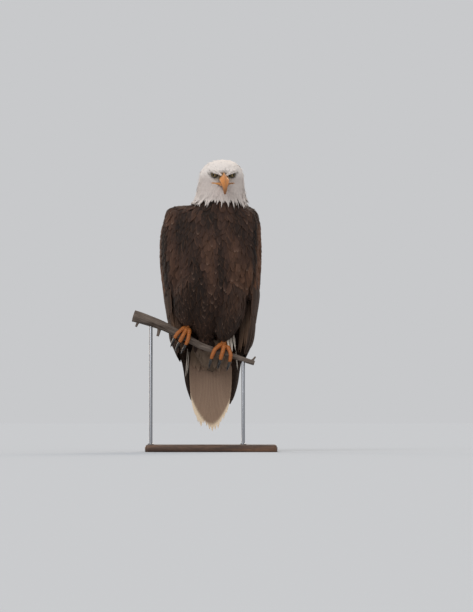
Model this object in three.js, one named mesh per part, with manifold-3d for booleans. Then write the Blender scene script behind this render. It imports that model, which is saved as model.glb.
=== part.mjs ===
// A life-size bald eagle, perched upright on a cut length of branch that a plain display stand holds.
// Millimetres. +Z is up, the bird faces -Y, and +X is the bird's left. The origin is the middle of the
// underside of the stand's base plate.
import * as THREE from "three";
import { LoftGeometry } from "three/addons/geometries/LoftGeometry.js";
import { RoundedBoxGeometry } from "three/addons/geometries/RoundedBoxGeometry.js";
import { mergeVertices } from "three/addons/utils/BufferGeometryUtils.js";
import Module from "manifold-3d";

const wasm = await Module();
wasm.setup();

// ---------- driving dimensions ----------
const GAP = 0.35; // left between neighbouring solids
const RIGHT = -1; // the bird's own right side, at -X
const LEFT = 1;
const SIDE_NAMES = new Map([[RIGHT, "right"], [LEFT, "left"]]);

const TAIL_TIP_Z = 55; // lowest feather tip
const BASE = { width: 380, depth: 250, thick: 20, corner: 6 };
const ROD = { radius: 5, sides: 16, rightX: -176, leftX: 92 };
const EYE = { x: 34, y: -68, z: 801, half: 25, out: -3, radius: 9.6 };
const HEAD_TURN = THREE.MathUtils.degToRad(6); // towards the bird's left
const HEAD_PITCH = THREE.MathUtils.degToRad(21); // bill down
const NECK_CUT_Z = 752;

// ---------- colours ----------
const finish = (color, roughness) => new THREE.MeshStandardMaterial({ color, roughness, metalness: 0 });
const MATERIALS = {
  white: finish(0xe6e1db, 0.85),
  brown: finish(0x45352d, 0.8),
  dark: finish(0x2f2520, 0.75),
  bill: finish(0xd99a4e, 0.4),
  foot: finish(0xd08a35, 0.55),
  talon: finish(0x1b1a1a, 0.35),
  eye: finish(0xd8c878, 0.1),
  bark: finish(0x6d6058, 0.9),
  wood: finish(0x3a2a20, 0.5),
  steel: new THREE.MeshStandardMaterial({ color: 0x8c8f92, roughness: 0.35, metalness: 1 }),
};

// ---------- solids ----------
const vec = (x, y, z) => new THREE.Vector3(x, y, z);

// A closed geometry as a manifold solid, with its faces turned outwards.
function solid(geometry, matrix = new THREE.Matrix4()) {
  const bare = geometry.index ? geometry.toNonIndexed() : geometry.clone();
  bare.deleteAttribute("normal");
  bare.deleteAttribute("uv");
  const merged = mergeVertices(bare.applyMatrix4(matrix), 1e-3);
  const corners = [];
  const index = merged.index.array;
  for (let i = 0; i < index.length; i += 3) {
    const [a, b, c] = index.slice(i, i + 3);
    if (a !== b && b !== c && c !== a) corners.push([a, b, c]);
  }
  const build = (faces) =>
    new wasm.Manifold(
      new wasm.Mesh({
        numProp: 3,
        vertProperties: merged.attributes.position.array,
        triVerts: new Uint32Array(faces.flat()),
      }),
    );
  const made = build(corners);
  return made.volume() > 0 ? made : build(corners.map(([a, b, c]) => [a, c, b]));
}

// The largest body of a solid, without the slivers that a cut can leave.
function largest(shape) {
  return shape.decompose().reduce((best, body) => (body.volume() > best.volume() ? body : best));
}

function mesh(name, shape, material) {
  const { numProp, vertProperties, triVerts } = shape.getMesh();
  const geometry = new THREE.BufferGeometry();
  const places = new THREE.InterleavedBufferAttribute(new THREE.InterleavedBuffer(vertProperties, numProp), 3, 0);
  geometry.setAttribute("position", places);
  geometry.setIndex(new THREE.BufferAttribute(triVerts, 1));
  geometry.computeVertexNormals();
  const made = new THREE.Mesh(geometry, MATERIALS[material]);
  made.name = name;
  return made;
}

const loft = (sections, matrix) => solid(new LoftGeometry(sections, { capStart: true, capEnd: true }), matrix);

// Every value of a list of stations at t, from 0 at the first to 1 at the last, on a Catmull-Rom curve.
function stationAt(stations, t) {
  const last = stations.length - 1;
  const i = Math.min(Math.floor(t * last), last - 1);
  const f = t * last - i;
  const near = [i - 1, i, i + 1, i + 2].map((k) => stations[THREE.MathUtils.clamp(k, 0, last)]);
  return near[1].map((_, key) => {
    const [a, b, c, d] = near.map((station) => station[key]);
    return b + 0.5 * f * (c - a + f * (2 * a - 5 * b + 4 * c - d + f * (3 * (b - c) + d - a)));
  });
}

const range = (count) => Array.from({ length: count }, (_, i) => i);
const power = (v, exponent) => Math.sign(v) * Math.abs(v) ** exponent;

// A level slice of the body. Station: height, middle x, half width, front y, middle y, back y,
// squareness of the front half and of the back half (2 is an ellipse), turn in degrees.
function slice([z, middle, half, front, centre, back, frontShape, backShape, turn], sides, grow) {
  return range(sides).map((i) => {
    const angle = (i / sides) * 2 * Math.PI;
    const [s, c] = [Math.sin(angle), -Math.cos(angle)];
    const shape = c < 0 ? frontShape : backShape;
    const reach = (c < 0 ? centre - front : back - centre) + grow;
    const point = vec((half + grow) * power(s, 2 / shape), reach * power(c, 2 / shape), 0);
    return point.applyAxisAngle(vec(0, 0, 1), THREE.MathUtils.degToRad(turn)).add(vec(middle, centre, z));
  });
}

// A body of level slices through stations.
function bodyLoft(stations, rings, sides, grow = 0) {
  const slices = range(rings + 1).map((k) => stationAt(stations, k / rings));
  slices[0][0] -= Math.max(grow, 0);
  slices[rings][0] += Math.max(grow, 0);
  return loft(slices.map((station) => slice(station, sides, grow)));
}

// How far section k of a run stands off its own place, so that a grown run also reaches past its ends.
const overrun = (k, steps, grow) => (k === steps ? grow : 0) - (k === 0 ? grow : 0);

// A round tube along points, with a radius at each point.
function tube(points, radii, steps, sides, grow = 0) {
  const curve = new THREE.CatmullRomCurve3(points);
  const frames = curve.computeFrenetFrames(steps);
  const sections = range(steps + 1).map((k) => {
    const centre = curve.getPoint(k / steps).addScaledVector(curve.getTangent(k / steps), overrun(k, steps, grow));
    const [radius] = stationAt(radii.map((r) => [r]), k / steps);
    const tangent = curve.getTangent(k / steps);
    const up = frames.normals[k].clone().projectOnPlane(tangent).normalize();
    const across = tangent.clone().cross(up);
    return range(sides).map((i) => {
      const angle = (i / sides) * 2 * Math.PI;
      return centre.clone().addScaledVector(up, Math.cos(angle) * (radius + grow))
        .addScaledVector(across, Math.sin(angle) * (radius + grow));
    });
  });
  return loft(sections);
}

const union = (shapes) => shapes.reduce((all, one) => all.add(one));

// ---------- trunk, neck and head ----------
//            z   middle half front centre back shapes  turn
const TRUNK = [
  [328, -15, 22, 12, 40, 64, 2, 2, 0],
  [350, -15, 40, -14, 40, 90, 2, 2, 0],
  [390, -14, 84, -48, 34, 106, 2.1, 2.1, 0],
  [440, -8, 106, -80, 24, 115, 2.2, 2.1, 0],
  [500, -3, 122, -104, 13, 119, 2.2, 2.1, 0],
  [565, 0, 130, -117, 4, 115, 2.2, 2.1, 0],
  [625, 2, 132, -114, -3, 102, 2.2, 2.1, 0],
  [670, 5, 125, -102, -8, 84, 2.2, 2.1, 0],
  [700, 9, 107, -84, -12, 64, 2.1, 2.1, 0],
  [714, 13, 86, -66, -14, 44, 2, 2, 0],
  [719, 15, 52, -42, -14, 16, 2, 2, 0],
];
const HEAD_AND_NECK = [
  [698, 24, 78, -90, -10, 64, 2, 2, 0],
  [716, 24.5, 79, -92, -12, 62, 2, 2, 1],
  [745, 26, 74, -86, -15, 53, 1.9, 2, 3],
  [768, 28, 69.5, -80, -20, 46, 1.7, 2, 5],
  [786, 29, 67, -84, -25, 41, 1.5, 2, 6],
  [802, 30, 65, -91, -27, 36, 1.4, 2, 6],
  [818, 30, 59, -87, -28, 28, 1.6, 2, 6],
  [833, 31, 47, -70, -28, 13, 1.8, 2, 6],
  [843, 33, 31, -52, -26, -1, 2, 2, 6],
  [847, 33, 12, -36, -26, -16, 2, 2, 6],
];
const trunkLoft = (grow) => bodyLoft(TRUNK, 12, 18, grow);
const headLoft = (grow) => bodyLoft(HEAD_AND_NECK, 13, 18, grow);

// The head's own frame: its origin lies between the eyes, -Y is forward and +Z is up from the bill line.
const HEAD_FRAME = new THREE.Matrix4()
  .makeTranslation(EYE.x, EYE.y, EYE.z)
  .multiply(new THREE.Matrix4().makeRotationZ(HEAD_TURN))
  .multiply(new THREE.Matrix4().makeRotationX(HEAD_PITCH));

const inHead = (side, forward, lateral, up) => vec(side * lateral, -forward, up).applyMatrix4(HEAD_FRAME);

const eyeBall = (side, grow) => {
  const centre = inHead(side, -EYE.out, EYE.half, 0);
  const place = new THREE.Matrix4().makeTranslation(...centre);
  return solid(new THREE.SphereGeometry(EYE.radius + grow, 10, 7), place);
};

// The ridge of bone over the eye, which gives the bird its frown.
const browRidge = (side) =>
  tube(
    [inHead(side, 23, 9, 8), inHead(side, 14, 22, 12.5), inHead(side, 2, 33, 12), inHead(side, -14, 42, 8)],
    [3.5, 5.5, 5.5, 2],
    5,
    5,
  );

// A mandible's slices: each runs from a lower to an upper point (forward, up), and is widest low down.
function mandible(profile, rings, sides, grow) {
  const sections = range(rings + 1).map((k) => {
    const [lowForward, lowUp, topForward, topUp, half] = stationAt(profile, k / rings);
    const low = vec(0, -lowForward, lowUp);
    const top = vec(0, -topForward, topUp);
    const middle = low.clone().lerp(top, 0.5);
    const rise = top.clone().sub(middle);
    rise.setLength(rise.length() + grow);
    return range(sides).map((i) => {
      const angle = (-i / sides) * 2 * Math.PI;
      const across = (half + grow) * Math.sin(angle) * (1 - 0.5 * Math.cos(angle));
      return middle.clone().addScaledVector(rise, Math.cos(angle)).add(vec(across, 0, 0));
    });
  });
  return loft(sections, HEAD_FRAME);
}

//                   tomium      culmen     half width
const UPPER_BILL = [
  [14, -21, 13, 8.5, 13.5],
  [28, -17, 28, 12, 13.2],
  [40, -14.5, 41, 12.5, 13],
  [50, -13.5, 54, 9, 12.4],
  [57.5, -15.5, 65, 0.5, 10.6],
  [63, -22, 71.5, -11.5, 8.6],
  [67, -30.5, 73, -24.5, 6.6],
  [69.6, -40, 70.8, -39, 2.6],
];
const LOWER_BILL = [
  [12, -30, 14, -21.6, 12.5],
  [28, -28.5, 28, -17.6, 11.5],
  [41, -25, 40, -15.1, 9.5],
  [51, -20.5, 50, -14.1, 6],
  [56, -17.5, 55, -15.6, 2],
];
const upperBill = (grow) => mandible(UPPER_BILL, 12, 10, grow);
const lowerBill = (grow) => mandible(LOWER_BILL, 5, 8, grow);

// The soft corner of the mouth runs from the lower mandible to a point below the eye.
const gape = (side, grow) =>
  tube(
    [inHead(side, 30, 7, -20), inHead(side, 18, 17, -20), inHead(side, 8, 26, -22), inHead(side, -1, 32, -25)],
    [3.4, 3.4, 2.8, 1.2],
    4,
    6,
    grow,
  );

function headParts() {
  const eyes = [RIGHT, LEFT].map((side) => eyeBall(side, 0));
  const bodyOfHead = union([headLoft(0), browRidge(RIGHT), browRidge(LEFT)]);
  const upper = upperBill(0);
  const lower = union([lowerBill(0), gape(RIGHT, 0), gape(LEFT, 0)]).subtract(upperBill(GAP));
  const grown = [upperBill(GAP), lowerBill(GAP), gape(RIGHT, GAP), gape(LEFT, GAP)];
  const sockets = [RIGHT, LEFT].map((side) => eyeBall(side, GAP));
  const whole = bodyOfHead.subtract(union([...grown, ...sockets]));
  const [above] = whole.splitByPlane([0, 0, 1], NECK_CUT_Z + GAP / 2);
  const [, below] = whole.splitByPlane([0, 0, 1], NECK_CUT_Z - GAP / 2);
  return [
    mesh("head", largest(above), "white"),
    mesh("neck", largest(below), "white"),
    mesh("bill_upper", upper, "bill"),
    mesh("bill_lower", largest(lower), "bill"),
    mesh("eye_right", eyes[0], "eye"),
    mesh("eye_left", eyes[1], "eye"),
  ];
}

// ---------- perch ----------
const PERCH_PATH = [
  vec(-226, 4, 393), vec(-182, 1, 380), vec(-132, -1, 360), vec(-80, 0, 333.5),
  vec(-22, 1, 303.5), vec(36, 0, 285), vec(80, -1, 271), vec(124, -3, 256),
];
const PERCH_RADII = [18, 16, 13.4, 11.6, 9.8, 9, 8.3, 7.4];
const perchTube = (grow) => tube(PERCH_PATH, PERCH_RADII, 14, 9, grow);

// The perch's centre, radius and frame (along it, up from it) where it passes a given x.
function perchAt(x) {
  const curve = new THREE.CatmullRomCurve3(PERCH_PATH);
  let [low, high] = [0, 1];
  for (const _ of range(30)) {
    const middle = (low + high) / 2;
    if (curve.getPoint(middle).x < x) low = middle;
    else high = middle;
  }
  const along = curve.getTangent(low).setY(0).normalize();
  const [radius] = stationAt(PERCH_RADII.map((r) => [r]), low);
  return { centre: curve.getPoint(low), radius, along, up: vec(-along.z, 0, along.x) };
}

// Stubs where side twigs have broken off: x along the perch, lean along it, length, radius, way up or down.
const STUBS = [[-204, -8, 24, 4.5, -1], [-150, 7, 28, 5.5, -1], [112, 10, 16, 3.2, 1]];
const stub = ([x, lean, length, radius, way]) => {
  const { centre, up, along } = perchAt(x);
  const tip = centre.clone().addScaledVector(up, way * (length + radius)).addScaledVector(along, lean);
  return tube([centre, centre.clone().lerp(tip, 0.5), tip], [radius * 1.5, radius, radius * 0.7], 2, 6);
};

// ---------- legs ----------
const THIGHS = new Map([
  [RIGHT, [
    [364, -73, 15, -20, -2, 16, 2, 2, 0],
    [380, -76, 27, -36, -2, 26, 2, 2, 0],
    [412, -76, 40, -62, 0, 40, 2, 2, 0],
    [452, -72, 48, -91, 5, 52, 2, 2, 0],
    [488, -68, 40, -104, 5, 46, 2, 2, 0],
    [508, -64, 18, -84, -20, 20, 2, 2, 0],
  ]],
  [LEFT, [
    [320, 35, 15, -20, -2, 16, 2, 2, 0],
    [337, 38, 27, -36, -2, 26, 2, 2, 0],
    [372, 50, 40, -60, 0, 40, 2, 2, 0],
    [424, 60, 48, -86, 5, 52, 2, 2, 0],
    [470, 64, 42, -101, 5, 48, 2, 2, 0],
    [496, 62, 18, -84, -20, 20, 2, 2, 0],
  ]],
]);
const thighLoft = (side, grow) => bodyLoft(THIGHS.get(side), 8, 14, grow);

const FEET_X = new Map([[RIGHT, -82], [LEFT, 30]]);
// Toes in front of the perch: name, reach along the perch, length share and thickness share.
const TOES = new Map([
  [RIGHT, [["outer", -19, 0.8, 0.94], ["middle", -1, 0.95, 1.04], ["inner", 18, 0.9, 1]]],
  [LEFT, [["inner", -24, 1.25, 1], ["middle", 2, 1, 1.04], ["outer", 29, 0.9, 0.94]]],
]);

// Points of a front toe over the perch, then of its talon: ahead of the centre, up from it.
function toePaths(side, [name, reach, share, thick]) {
  const { centre, radius: r, along, up } = perchAt(FEET_X.get(side));
  const at = (ahead, high, aside) =>
    centre.clone().add(vec(0, -ahead, 0)).addScaledVector(up, high).addScaledVector(along, aside * reach);
  const drop = 11 * share;
  return {
    name,
    toe: [at(-3, r + 11, 0.1), at(8, r + 9.5, 0.45), at(r + 8, 4, 0.85), at(r + 8, 4 - drop, 0.97),
      at(r + 5.5, 1 - 2 * drop, 1)],
    talon: [at(r + 5.1, -2 * drop, 1), at(r + 2, -10 - 2 * drop, 1), at(r - 4, -21 - 2 * drop, 0.98),
      at(r - 12, -28 - 2 * drop, 0.94)],
    thick,
  };
}

// The hind toe and its talon, the longest of the four, on the back of the perch.
function hindPaths(side) {
  const { centre, radius: r, up } = perchAt(FEET_X.get(side));
  const at = (ahead, high) => centre.clone().add(vec(0, -ahead, 0)).addScaledVector(up, high);
  return {
    name: "hind",
    toe: [at(3, r + 10.5), at(-8, r + 9.5), at(-r - 8, 5), at(-r - 8, -5), at(-r - 6, -12.5)],
    talon: [at(-r - 5.8, -13.6), at(-r - 5, -25), at(-r - 1, -37), at(-r + 6, -46)],
    thick: 1.08,
  };
}

const toesOf = (side) => [...TOES.get(side).map((toe) => toePaths(side, toe)), hindPaths(side)];
const TOE_RADII = [7.2, 6.6, 5.6, 5.8, 4.6];
const TALON_RADII = [4.2, 3.9, 2.6, 0.5];
const scaledTube = (points, radii, thick, steps, sides) => tube(points, radii.map((r) => r * thick), steps, sides);

function tarsus(side) {
  const { centre, radius, up } = perchAt(FEET_X.get(side));
  const ankle = centre.clone().addScaledVector(up, radius + 11);
  const top = ankle.clone().setZ(THIGHS.get(side)[0][0] - GAP);
  return tube([ankle, top], [8.6, 8.6], 1, 8);
}

function legParts(side) {
  const which = SIDE_NAMES.get(side);
  const toes = toesOf(side);
  const bare = union([tarsus(side), ...toes.map(({ toe, thick }) => scaledTube(toe, TOE_RADII, thick, 5, 6))]);
  const talons = toes.map(({ name, talon, thick }) =>
    mesh(`talon_${which}_${name}`, scaledTube(talon, TALON_RADII, thick, 4, 5), "talon"));
  return [mesh(`foot_${which}`, bare, "foot"), ...talons];
}

// ---------- tail ----------
const TAIL = { pairs: 6, rootY: 72, rootZ: 325, tipY: 120, rootHalf: 36, tipHalf: 43, shorter: 58, layer: 1.3 };
const TAIL_ROOT = { width: 92, deep: 18.4, high: 10, y: 65.8, z: 321 }; // the block that holds the quills
const VANE_STATIONS = [[0, 0.6], [0.3, 1], [0.62, 1], [0.9, 0.95], [0.97, 0.66], [1, 0.2]]; // place, width share
const VANE_CORNERS = [[1, -1], [1, 1], [-1, 1], [-1, -1]]; // across the feather, and out of its face

// A flight feather: a thin blade along a curve, with its face turned to one side.
function vane(curve, facing, half, thick) {
  const sections = VANE_STATIONS.map(([t, spread]) => {
    const tangent = curve.getTangent(t);
    const out = facing.clone().projectOnPlane(tangent).normalize();
    const across = out.clone().cross(tangent);
    return VANE_CORNERS.map(([side, face]) =>
      curve.getPoint(t).addScaledVector(across, side * half * spread).addScaledVector(out, (face * thick) / 2));
  });
  return loft(sections);
}

// A tail feather: pair 0 is the middle one, the longest, and lies on top at the back.
function rectrix(pair, side) {
  const share = (side * (pair + 0.5)) / (TAIL.pairs - 0.5);
  const drop = TAIL.shorter * Math.abs(share) ** 2.2;
  const length = TAIL.rootZ - TAIL_TIP_Z;
  const slope = (TAIL.tipY - TAIL.rootY) / length;
  const forward = TAIL.layer * (2 * pair + (side === LEFT ? 1 : 0));
  const root = vec(share * TAIL.rootHalf, TAIL.rootY - forward, TAIL.rootZ);
  const tip = vec(share * TAIL.tipHalf, TAIL.rootY - forward + slope * (length - drop), TAIL_TIP_Z + drop);
  return vane(new THREE.LineCurve3(root, tip), vec(0, 1, slope), 19, 1);
}

function tailFan() {
  const place = new THREE.Matrix4().makeTranslation(0, TAIL_ROOT.y, TAIL_ROOT.z);
  const root = solid(new THREE.BoxGeometry(TAIL_ROOT.width, TAIL_ROOT.deep, TAIL_ROOT.high), place);
  return union([root, ...[RIGHT, LEFT].flatMap((side) => range(TAIL.pairs).map((pair) => rectrix(pair, side)))]);
}

const UNDERTAIL = [
  [226, 0, 12, 62, 68, 73, 2, 2, 0],
  [250, -1, 34, 44, 58, 69, 2, 2.2, 0],
  [285, -5, 49, 26, 48, 62, 2, 2.4, 0],
  [312, -10, 50, 16, 42, 55, 2, 2.4, 0],
  [327, -14, 40, 18, 40, 54, 2, 2.2, 0],
];
const undertailLoft = () => bodyLoft(UNDERTAIL, 6, 14);

// ---------- wings ----------
// The folded wings and back as one outer surface.
const ENVELOPE = [
  [232, 0, 84, 30, 76, 120, 2, 2, 0],
  [262, 0, 101, 5, 62, 127, 2, 2, 0],
  [292, 0, 115, -15, 54, 128, 2, 2.1, 0],
  [322, 0, 126, -35, 48, 128, 2, 2.2, 0],
  [360, 0, 132, -60, 40, 127, 2, 2.2, 0],
  [410, 0, 138, -85, 32, 127, 2.1, 2.2, 0],
  [480, 0, 145, -104, 20, 129, 2.2, 2.2, 0],
  [545, 0, 148, -112, 8, 127, 2.2, 2.2, 0],
  [605, 0, 147, -110, 0, 116, 2.2, 2.2, 0],
  [655, 0, 141, -98, -6, 98, 2.2, 2.2, 0],
  [690, 0, 128, -80, -10, 76, 2.1, 2.1, 0],
  [708, 0, 108, -62, -12, 54, 2, 2, 0],
  [716, 0, 78, -45, -12, 30, 2, 2, 0],
];
const WING_SHELL = 8; // thickness of the folded flight feathers
const SECONDARY_STEP = 3; // how far the coverts stand over the secondaries
const envelope = (grow) => bodyLoft(ENVELOPE, 12, 22, grow);

// The hollow between the hanging part of the wing and the body: it closes where the wing meets the flank.
const HOLLOW_TOP = 7;
const hollow = () => {
  const stations = ENVELOPE.slice(0, HOLLOW_TOP).map((station, i) => {
    const shrink = WING_SHELL + Math.max(0, i - 5) * 14;
    const [z, middle, half, front, centre, back, ...shapes] = station;
    return [z, middle, half - shrink, front + shrink, centre, back - shrink, ...shapes];
  });
  const mouth = [stations[0][0] - 30, ...stations[0].slice(1)];
  return bodyLoft([mouth, ...stations], 7, 22);
};

// Points of a row of round feather tips from one place to another, in (y, z); deep is how far they bulge.
function scallops(from, to, count, deep) {
  const along = to.clone().sub(from);
  const out = new THREE.Vector2(along.y, -along.x).normalize();
  const perTip = 3;
  return range(count * perTip + 1).map((k) => {
    const bulge = deep * Math.sin(((k % perTip) / perTip) * Math.PI);
    return from.clone().addScaledVector(along, k / (count * perTip)).addScaledVector(out, bulge);
  });
}

const point = (y, z) => new THREE.Vector2(y, z);
const LEADING_EDGE = new THREE.SplineCurve([
  point(-30, 722), point(-62, 694), point(-79, 655), point(-82, 605), point(-76, 545),
  point(-60, 488), point(-34, 436), point(0, 398), point(19, 366), point(25, 326), point(30, 284),
]);
const COVERT_END = 0.63; // share of the leading edge that the coverts take
const BACK_Y = 150;
const TIP_LINE = { front: point(30, 284), middle: point(66, 262), back: point(BACK_Y, 272) };

// The side outline of the coverts, and of the secondaries under them, pushed out to one side of the body.
function sidePlate(points, side) {
  const outline = new THREE.Shape(points);
  const depth = 180;
  const plate = new THREE.ExtrudeGeometry(outline, { depth, bevelEnabled: false });
  const axes = new THREE.Matrix4().makeBasis(vec(0, 1, 0), vec(0, 0, 1), vec(1, 0, 0));
  const shift = new THREE.Matrix4().makeTranslation(side === LEFT ? GAP / 2 : -depth - GAP / 2, 0, 0);
  return solid(plate, shift.multiply(axes));
}

const edgePoints = (from, to, count) =>
  range(count + 1).map((k) => LEADING_EDGE.getPoint(from + ((to - from) * k) / count));

const covertOutline = () => [
  ...edgePoints(0, COVERT_END, 12),
  ...scallops(LEADING_EDGE.getPoint(COVERT_END), point(BACK_Y, 405), 7, 9).slice(1),
  point(BACK_Y, 730),
];
const secondaryOutline = () => [
  ...edgePoints(COVERT_END, 1, 6),
  ...scallops(TIP_LINE.front, TIP_LINE.middle, 2, 8).slice(1),
  ...scallops(TIP_LINE.middle, TIP_LINE.back, 4, 8).slice(1),
  point(BACK_Y, 425),
  LEADING_EDGE.getPoint(COVERT_END).add(point(16, 14)),
];

// The folded primaries lie inside the secondaries, on a surface of their own, and reach out below them.
const PRIMARY_SURFACE = [
  [130, 0, 61, 60, 98, 131, 2, 2, 0],
  [165, 0, 71, 45, 90, 131, 2, 2, 0],
  [200, 0, 78, 30, 82, 126, 2, 2, 0],
  [235, 0, 82, 15, 72, 117, 2, 2, 0],
  [265, 0, 89, 0, 62, 115, 2, 2, 0],
  [300, 0, 105, -15, 54, 116, 2, 2, 0],
  [345, 0, 119, -35, 46, 116, 2, 2.1, 0],
  [398, 0, 124, -60, 38, 115, 2, 2.1, 0],
];
const PRIMARY_THICK = 3;
const primarySurface = (grow) => bodyLoft(PRIMARY_SURFACE, 8, 22, grow);
// Tips in the side view, outermost feather first, and the notch behind each.
const PRIMARY_TIPS = [[76, 243, 80, 264], [87, 204, 91, 228], [98, 174, 101, 196], [107, 149, 110, 168]];
const primaryOutline = () => [
  point(30, 394), point(31, 340), point(37, 300), point(50, 268), point(66, 248),
  ...PRIMARY_TIPS.flatMap(([y, z, notchY, notchZ]) => [
    point(y - 4, z + 1), point(y, z), point(y + 2, z + 6), point(notchY, notchZ), point(notchY + 2, notchZ - 14),
  ]),
  point(115, 137), point(119, 146), point(118, 200), point(108, 270), point(96, 394),
];
const primaries = (side) =>
  primarySurface(0).subtract(primarySurface(-PRIMARY_THICK)).intersect(sidePlate(primaryOutline(), side));

function wingParts(side, body) {
  const name = SIDE_NAMES.get(side);
  const within = body.add(hollow());
  const coverPlate = sidePlate(covertOutline(), side);
  const cover = envelope(GAP).intersect(coverPlate);
  const grownCover = union([cover, cover.translate([0, 0, -GAP]), cover.translate([0, -GAP, 0])]);
  const coverts = envelope(0).intersect(coverPlate).subtract(within);
  const secondaries = envelope(-SECONDARY_STEP).intersect(sidePlate(secondaryOutline(), side))
    .subtract(within.add(grownCover));
  return [
    mesh(`wing_${name}_coverts`, largest(coverts), "brown"),
    mesh(`wing_${name}_secondaries`, largest(secondaries), "dark"),
    mesh(`wing_${name}_primaries`, primaries(side), "dark"),
  ];
}

// ---------- stand ----------
function standParts() {
  const base = new THREE.Mesh(
    new RoundedBoxGeometry(BASE.width, BASE.depth, BASE.thick, 1, BASE.corner),
    MATERIALS.wood,
  );
  base.name = "stand_base";
  base.position.set(0, 0, BASE.thick / 2);
  const rods = [["right", ROD.rightX], ["left", ROD.leftX]].map(([name, x]) => {
    const { centre } = perchAt(x);
    const foot = BASE.thick + GAP;
    const geometry = new THREE.CylinderGeometry(ROD.radius, ROD.radius, centre.z - foot, ROD.sides);
    const place = new THREE.Matrix4()
      .makeTranslation(x, centre.y, (centre.z + foot) / 2)
      .multiply(new THREE.Matrix4().makeRotationX(Math.PI / 2));
    return mesh(`stand_rod_${name}`, largest(solid(geometry, place).subtract(perchTube(GAP))), "steel");
  });
  return [base, ...rods];
}

// ---------- the whole ----------
function bodyParts() {
  const grownThighs = thighLoft(RIGHT, GAP).add(thighLoft(LEFT, GAP));
  const flesh = union([trunkLoft(GAP), grownThighs, headLoft(GAP)]);
  const trunk = trunkLoft(0).subtract(grownThighs.add(headLoft(GAP)));
  return [
    mesh("trunk", largest(trunk), "brown"),
    mesh("thigh_right", thighLoft(RIGHT, 0), "brown"),
    mesh("thigh_left", thighLoft(LEFT, 0), "brown"),
    mesh("tail", tailFan(), "white"),
    mesh("undertail_coverts", undertailLoft(), "white"),
    ...wingParts(RIGHT, flesh),
    ...wingParts(LEFT, flesh),
  ];
}

const eagle = new THREE.Group();
eagle.add(
  ...headParts(),
  ...bodyParts(),
  ...legParts(RIGHT),
  ...legParts(LEFT),
  mesh("perch", union([perchTube(0), ...STUBS.map(stub)]), "bark"),
  ...standParts(),
);

export default eagle;
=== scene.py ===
# %% [markdown]
# # A perched bald eagle, feather by feather
# A museum's life-size eagle grips a cut length of branch, and a plain stand holds the branch. The
# construction is fixed: a frame of solid parts, one for each named part of the bird, comes in first and
# is never moved. This lesson dresses that frame. One skin is drawn under the solids, thousands of vanes
# are laid over the skin, and the bill, eyes, feet, branch and stand are carried out as smooth surfaces
# worked out with numpy.
#
# Everything is in metres. +Z is up, the bird faces -Y, and +X is the bird's left.

import bmesh
import bpy
import numpy as np
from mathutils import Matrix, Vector
from mathutils.bvhtree import BVHTree
from mathutils.kdtree import KDTree


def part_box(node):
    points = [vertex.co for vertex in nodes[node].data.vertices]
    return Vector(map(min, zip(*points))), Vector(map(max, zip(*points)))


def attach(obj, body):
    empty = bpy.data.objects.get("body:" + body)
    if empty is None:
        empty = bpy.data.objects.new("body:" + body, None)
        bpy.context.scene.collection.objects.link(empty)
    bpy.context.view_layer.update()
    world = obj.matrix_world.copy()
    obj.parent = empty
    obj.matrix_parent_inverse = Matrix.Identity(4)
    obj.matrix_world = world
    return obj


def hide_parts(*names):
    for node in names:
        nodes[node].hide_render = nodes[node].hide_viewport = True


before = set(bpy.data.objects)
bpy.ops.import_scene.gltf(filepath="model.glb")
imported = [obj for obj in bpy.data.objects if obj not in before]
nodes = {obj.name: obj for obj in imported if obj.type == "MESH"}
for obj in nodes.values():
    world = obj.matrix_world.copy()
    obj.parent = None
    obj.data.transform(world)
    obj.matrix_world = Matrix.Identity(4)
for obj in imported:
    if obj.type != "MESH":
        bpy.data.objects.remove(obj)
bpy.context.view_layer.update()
MM = 0.001
RIGHT, LEFT = -1, 1  # the bird's own sides: its right is at -X
SIDES = {RIGHT: "right", LEFT: "left"}
print("nodes in the frame:", len(nodes))

# %% [markdown]
# ## The camera
# The bird is seen from the front and from far off, with a long lens and almost level, so its sides run
# nearly parallel. The camera comes first, because everything later is judged through it. It stands ten
# metres away, just above the floor, and looks up a very little.

# %% Camera
DISTANCE = 10.0
VIEW_HEIGHT = 1.775  # what the frame's height covers at the bird
VIEW_CENTRE = Vector((0.0725, 0.0, 0.422))
CAMERA_Z = 0.10


def new_object(name, data):
    """An object in the scene that shows some data: a mesh, a camera or a lamp."""
    made = bpy.data.objects.new(name, data)
    bpy.context.scene.collection.objects.link(made)
    return made


def aim(thing, place, target):
    """Puts a camera or a lamp in its place, looking at a target."""
    thing.location = place
    thing.rotation_euler = (target - thing.location).to_track_quat("-Z", "Y").to_euler()


camera_data = bpy.data.cameras.new("camera")
camera_data.sensor_width = 36.0
camera_data.lens = camera_data.sensor_width * DISTANCE / VIEW_HEIGHT
camera_data.clip_end = 100.0
camera = new_object("camera", camera_data)
aim(camera, (VIEW_CENTRE.x, -DISTANCE, CAMERA_Z), VIEW_CENTRE)
bpy.context.scene.camera = camera
bpy.context.scene.view_settings.view_transform = "Standard"
print("lens:", round(camera_data.lens, 1), "mm")

# %% [markdown]
# ## Tools for shapes
# Two ideas make almost every surface here. The first is a smooth run through a short list of measured
# stations: a Catmull-Rom cubic passes through each one. The second is a ring carried along a path: ring
# after ring gives a grid of points, quads join the grid, and one point closes each end.


# %% Curves and grids
def spline(rows, t):
    """Every column of rows at t, from 0 at the first row to 1 at the last.

    Between rows b and c, with a before and d after, the value at share f is
    b + f/2 (c - a + f (2a - 5b + 4c - d + f (3(b - c) + d - a))), the Catmull-Rom cubic.
    """
    rows = np.asarray(rows, float)
    last = len(rows) - 1
    place = np.clip(np.asarray(t, float), 0, 1) * last
    i = np.minimum(place.astype(int), last - 1)
    f = (place - i)[..., None]
    a, b, c, d = (rows[np.clip(i + k, 0, last)] for k in (-1, 0, 1, 2))
    return b + 0.5 * f * (c - a + f * (2 * a - 5 * b + 4 * c - d + f * (3 * (b - c) + d - a)))


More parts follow.
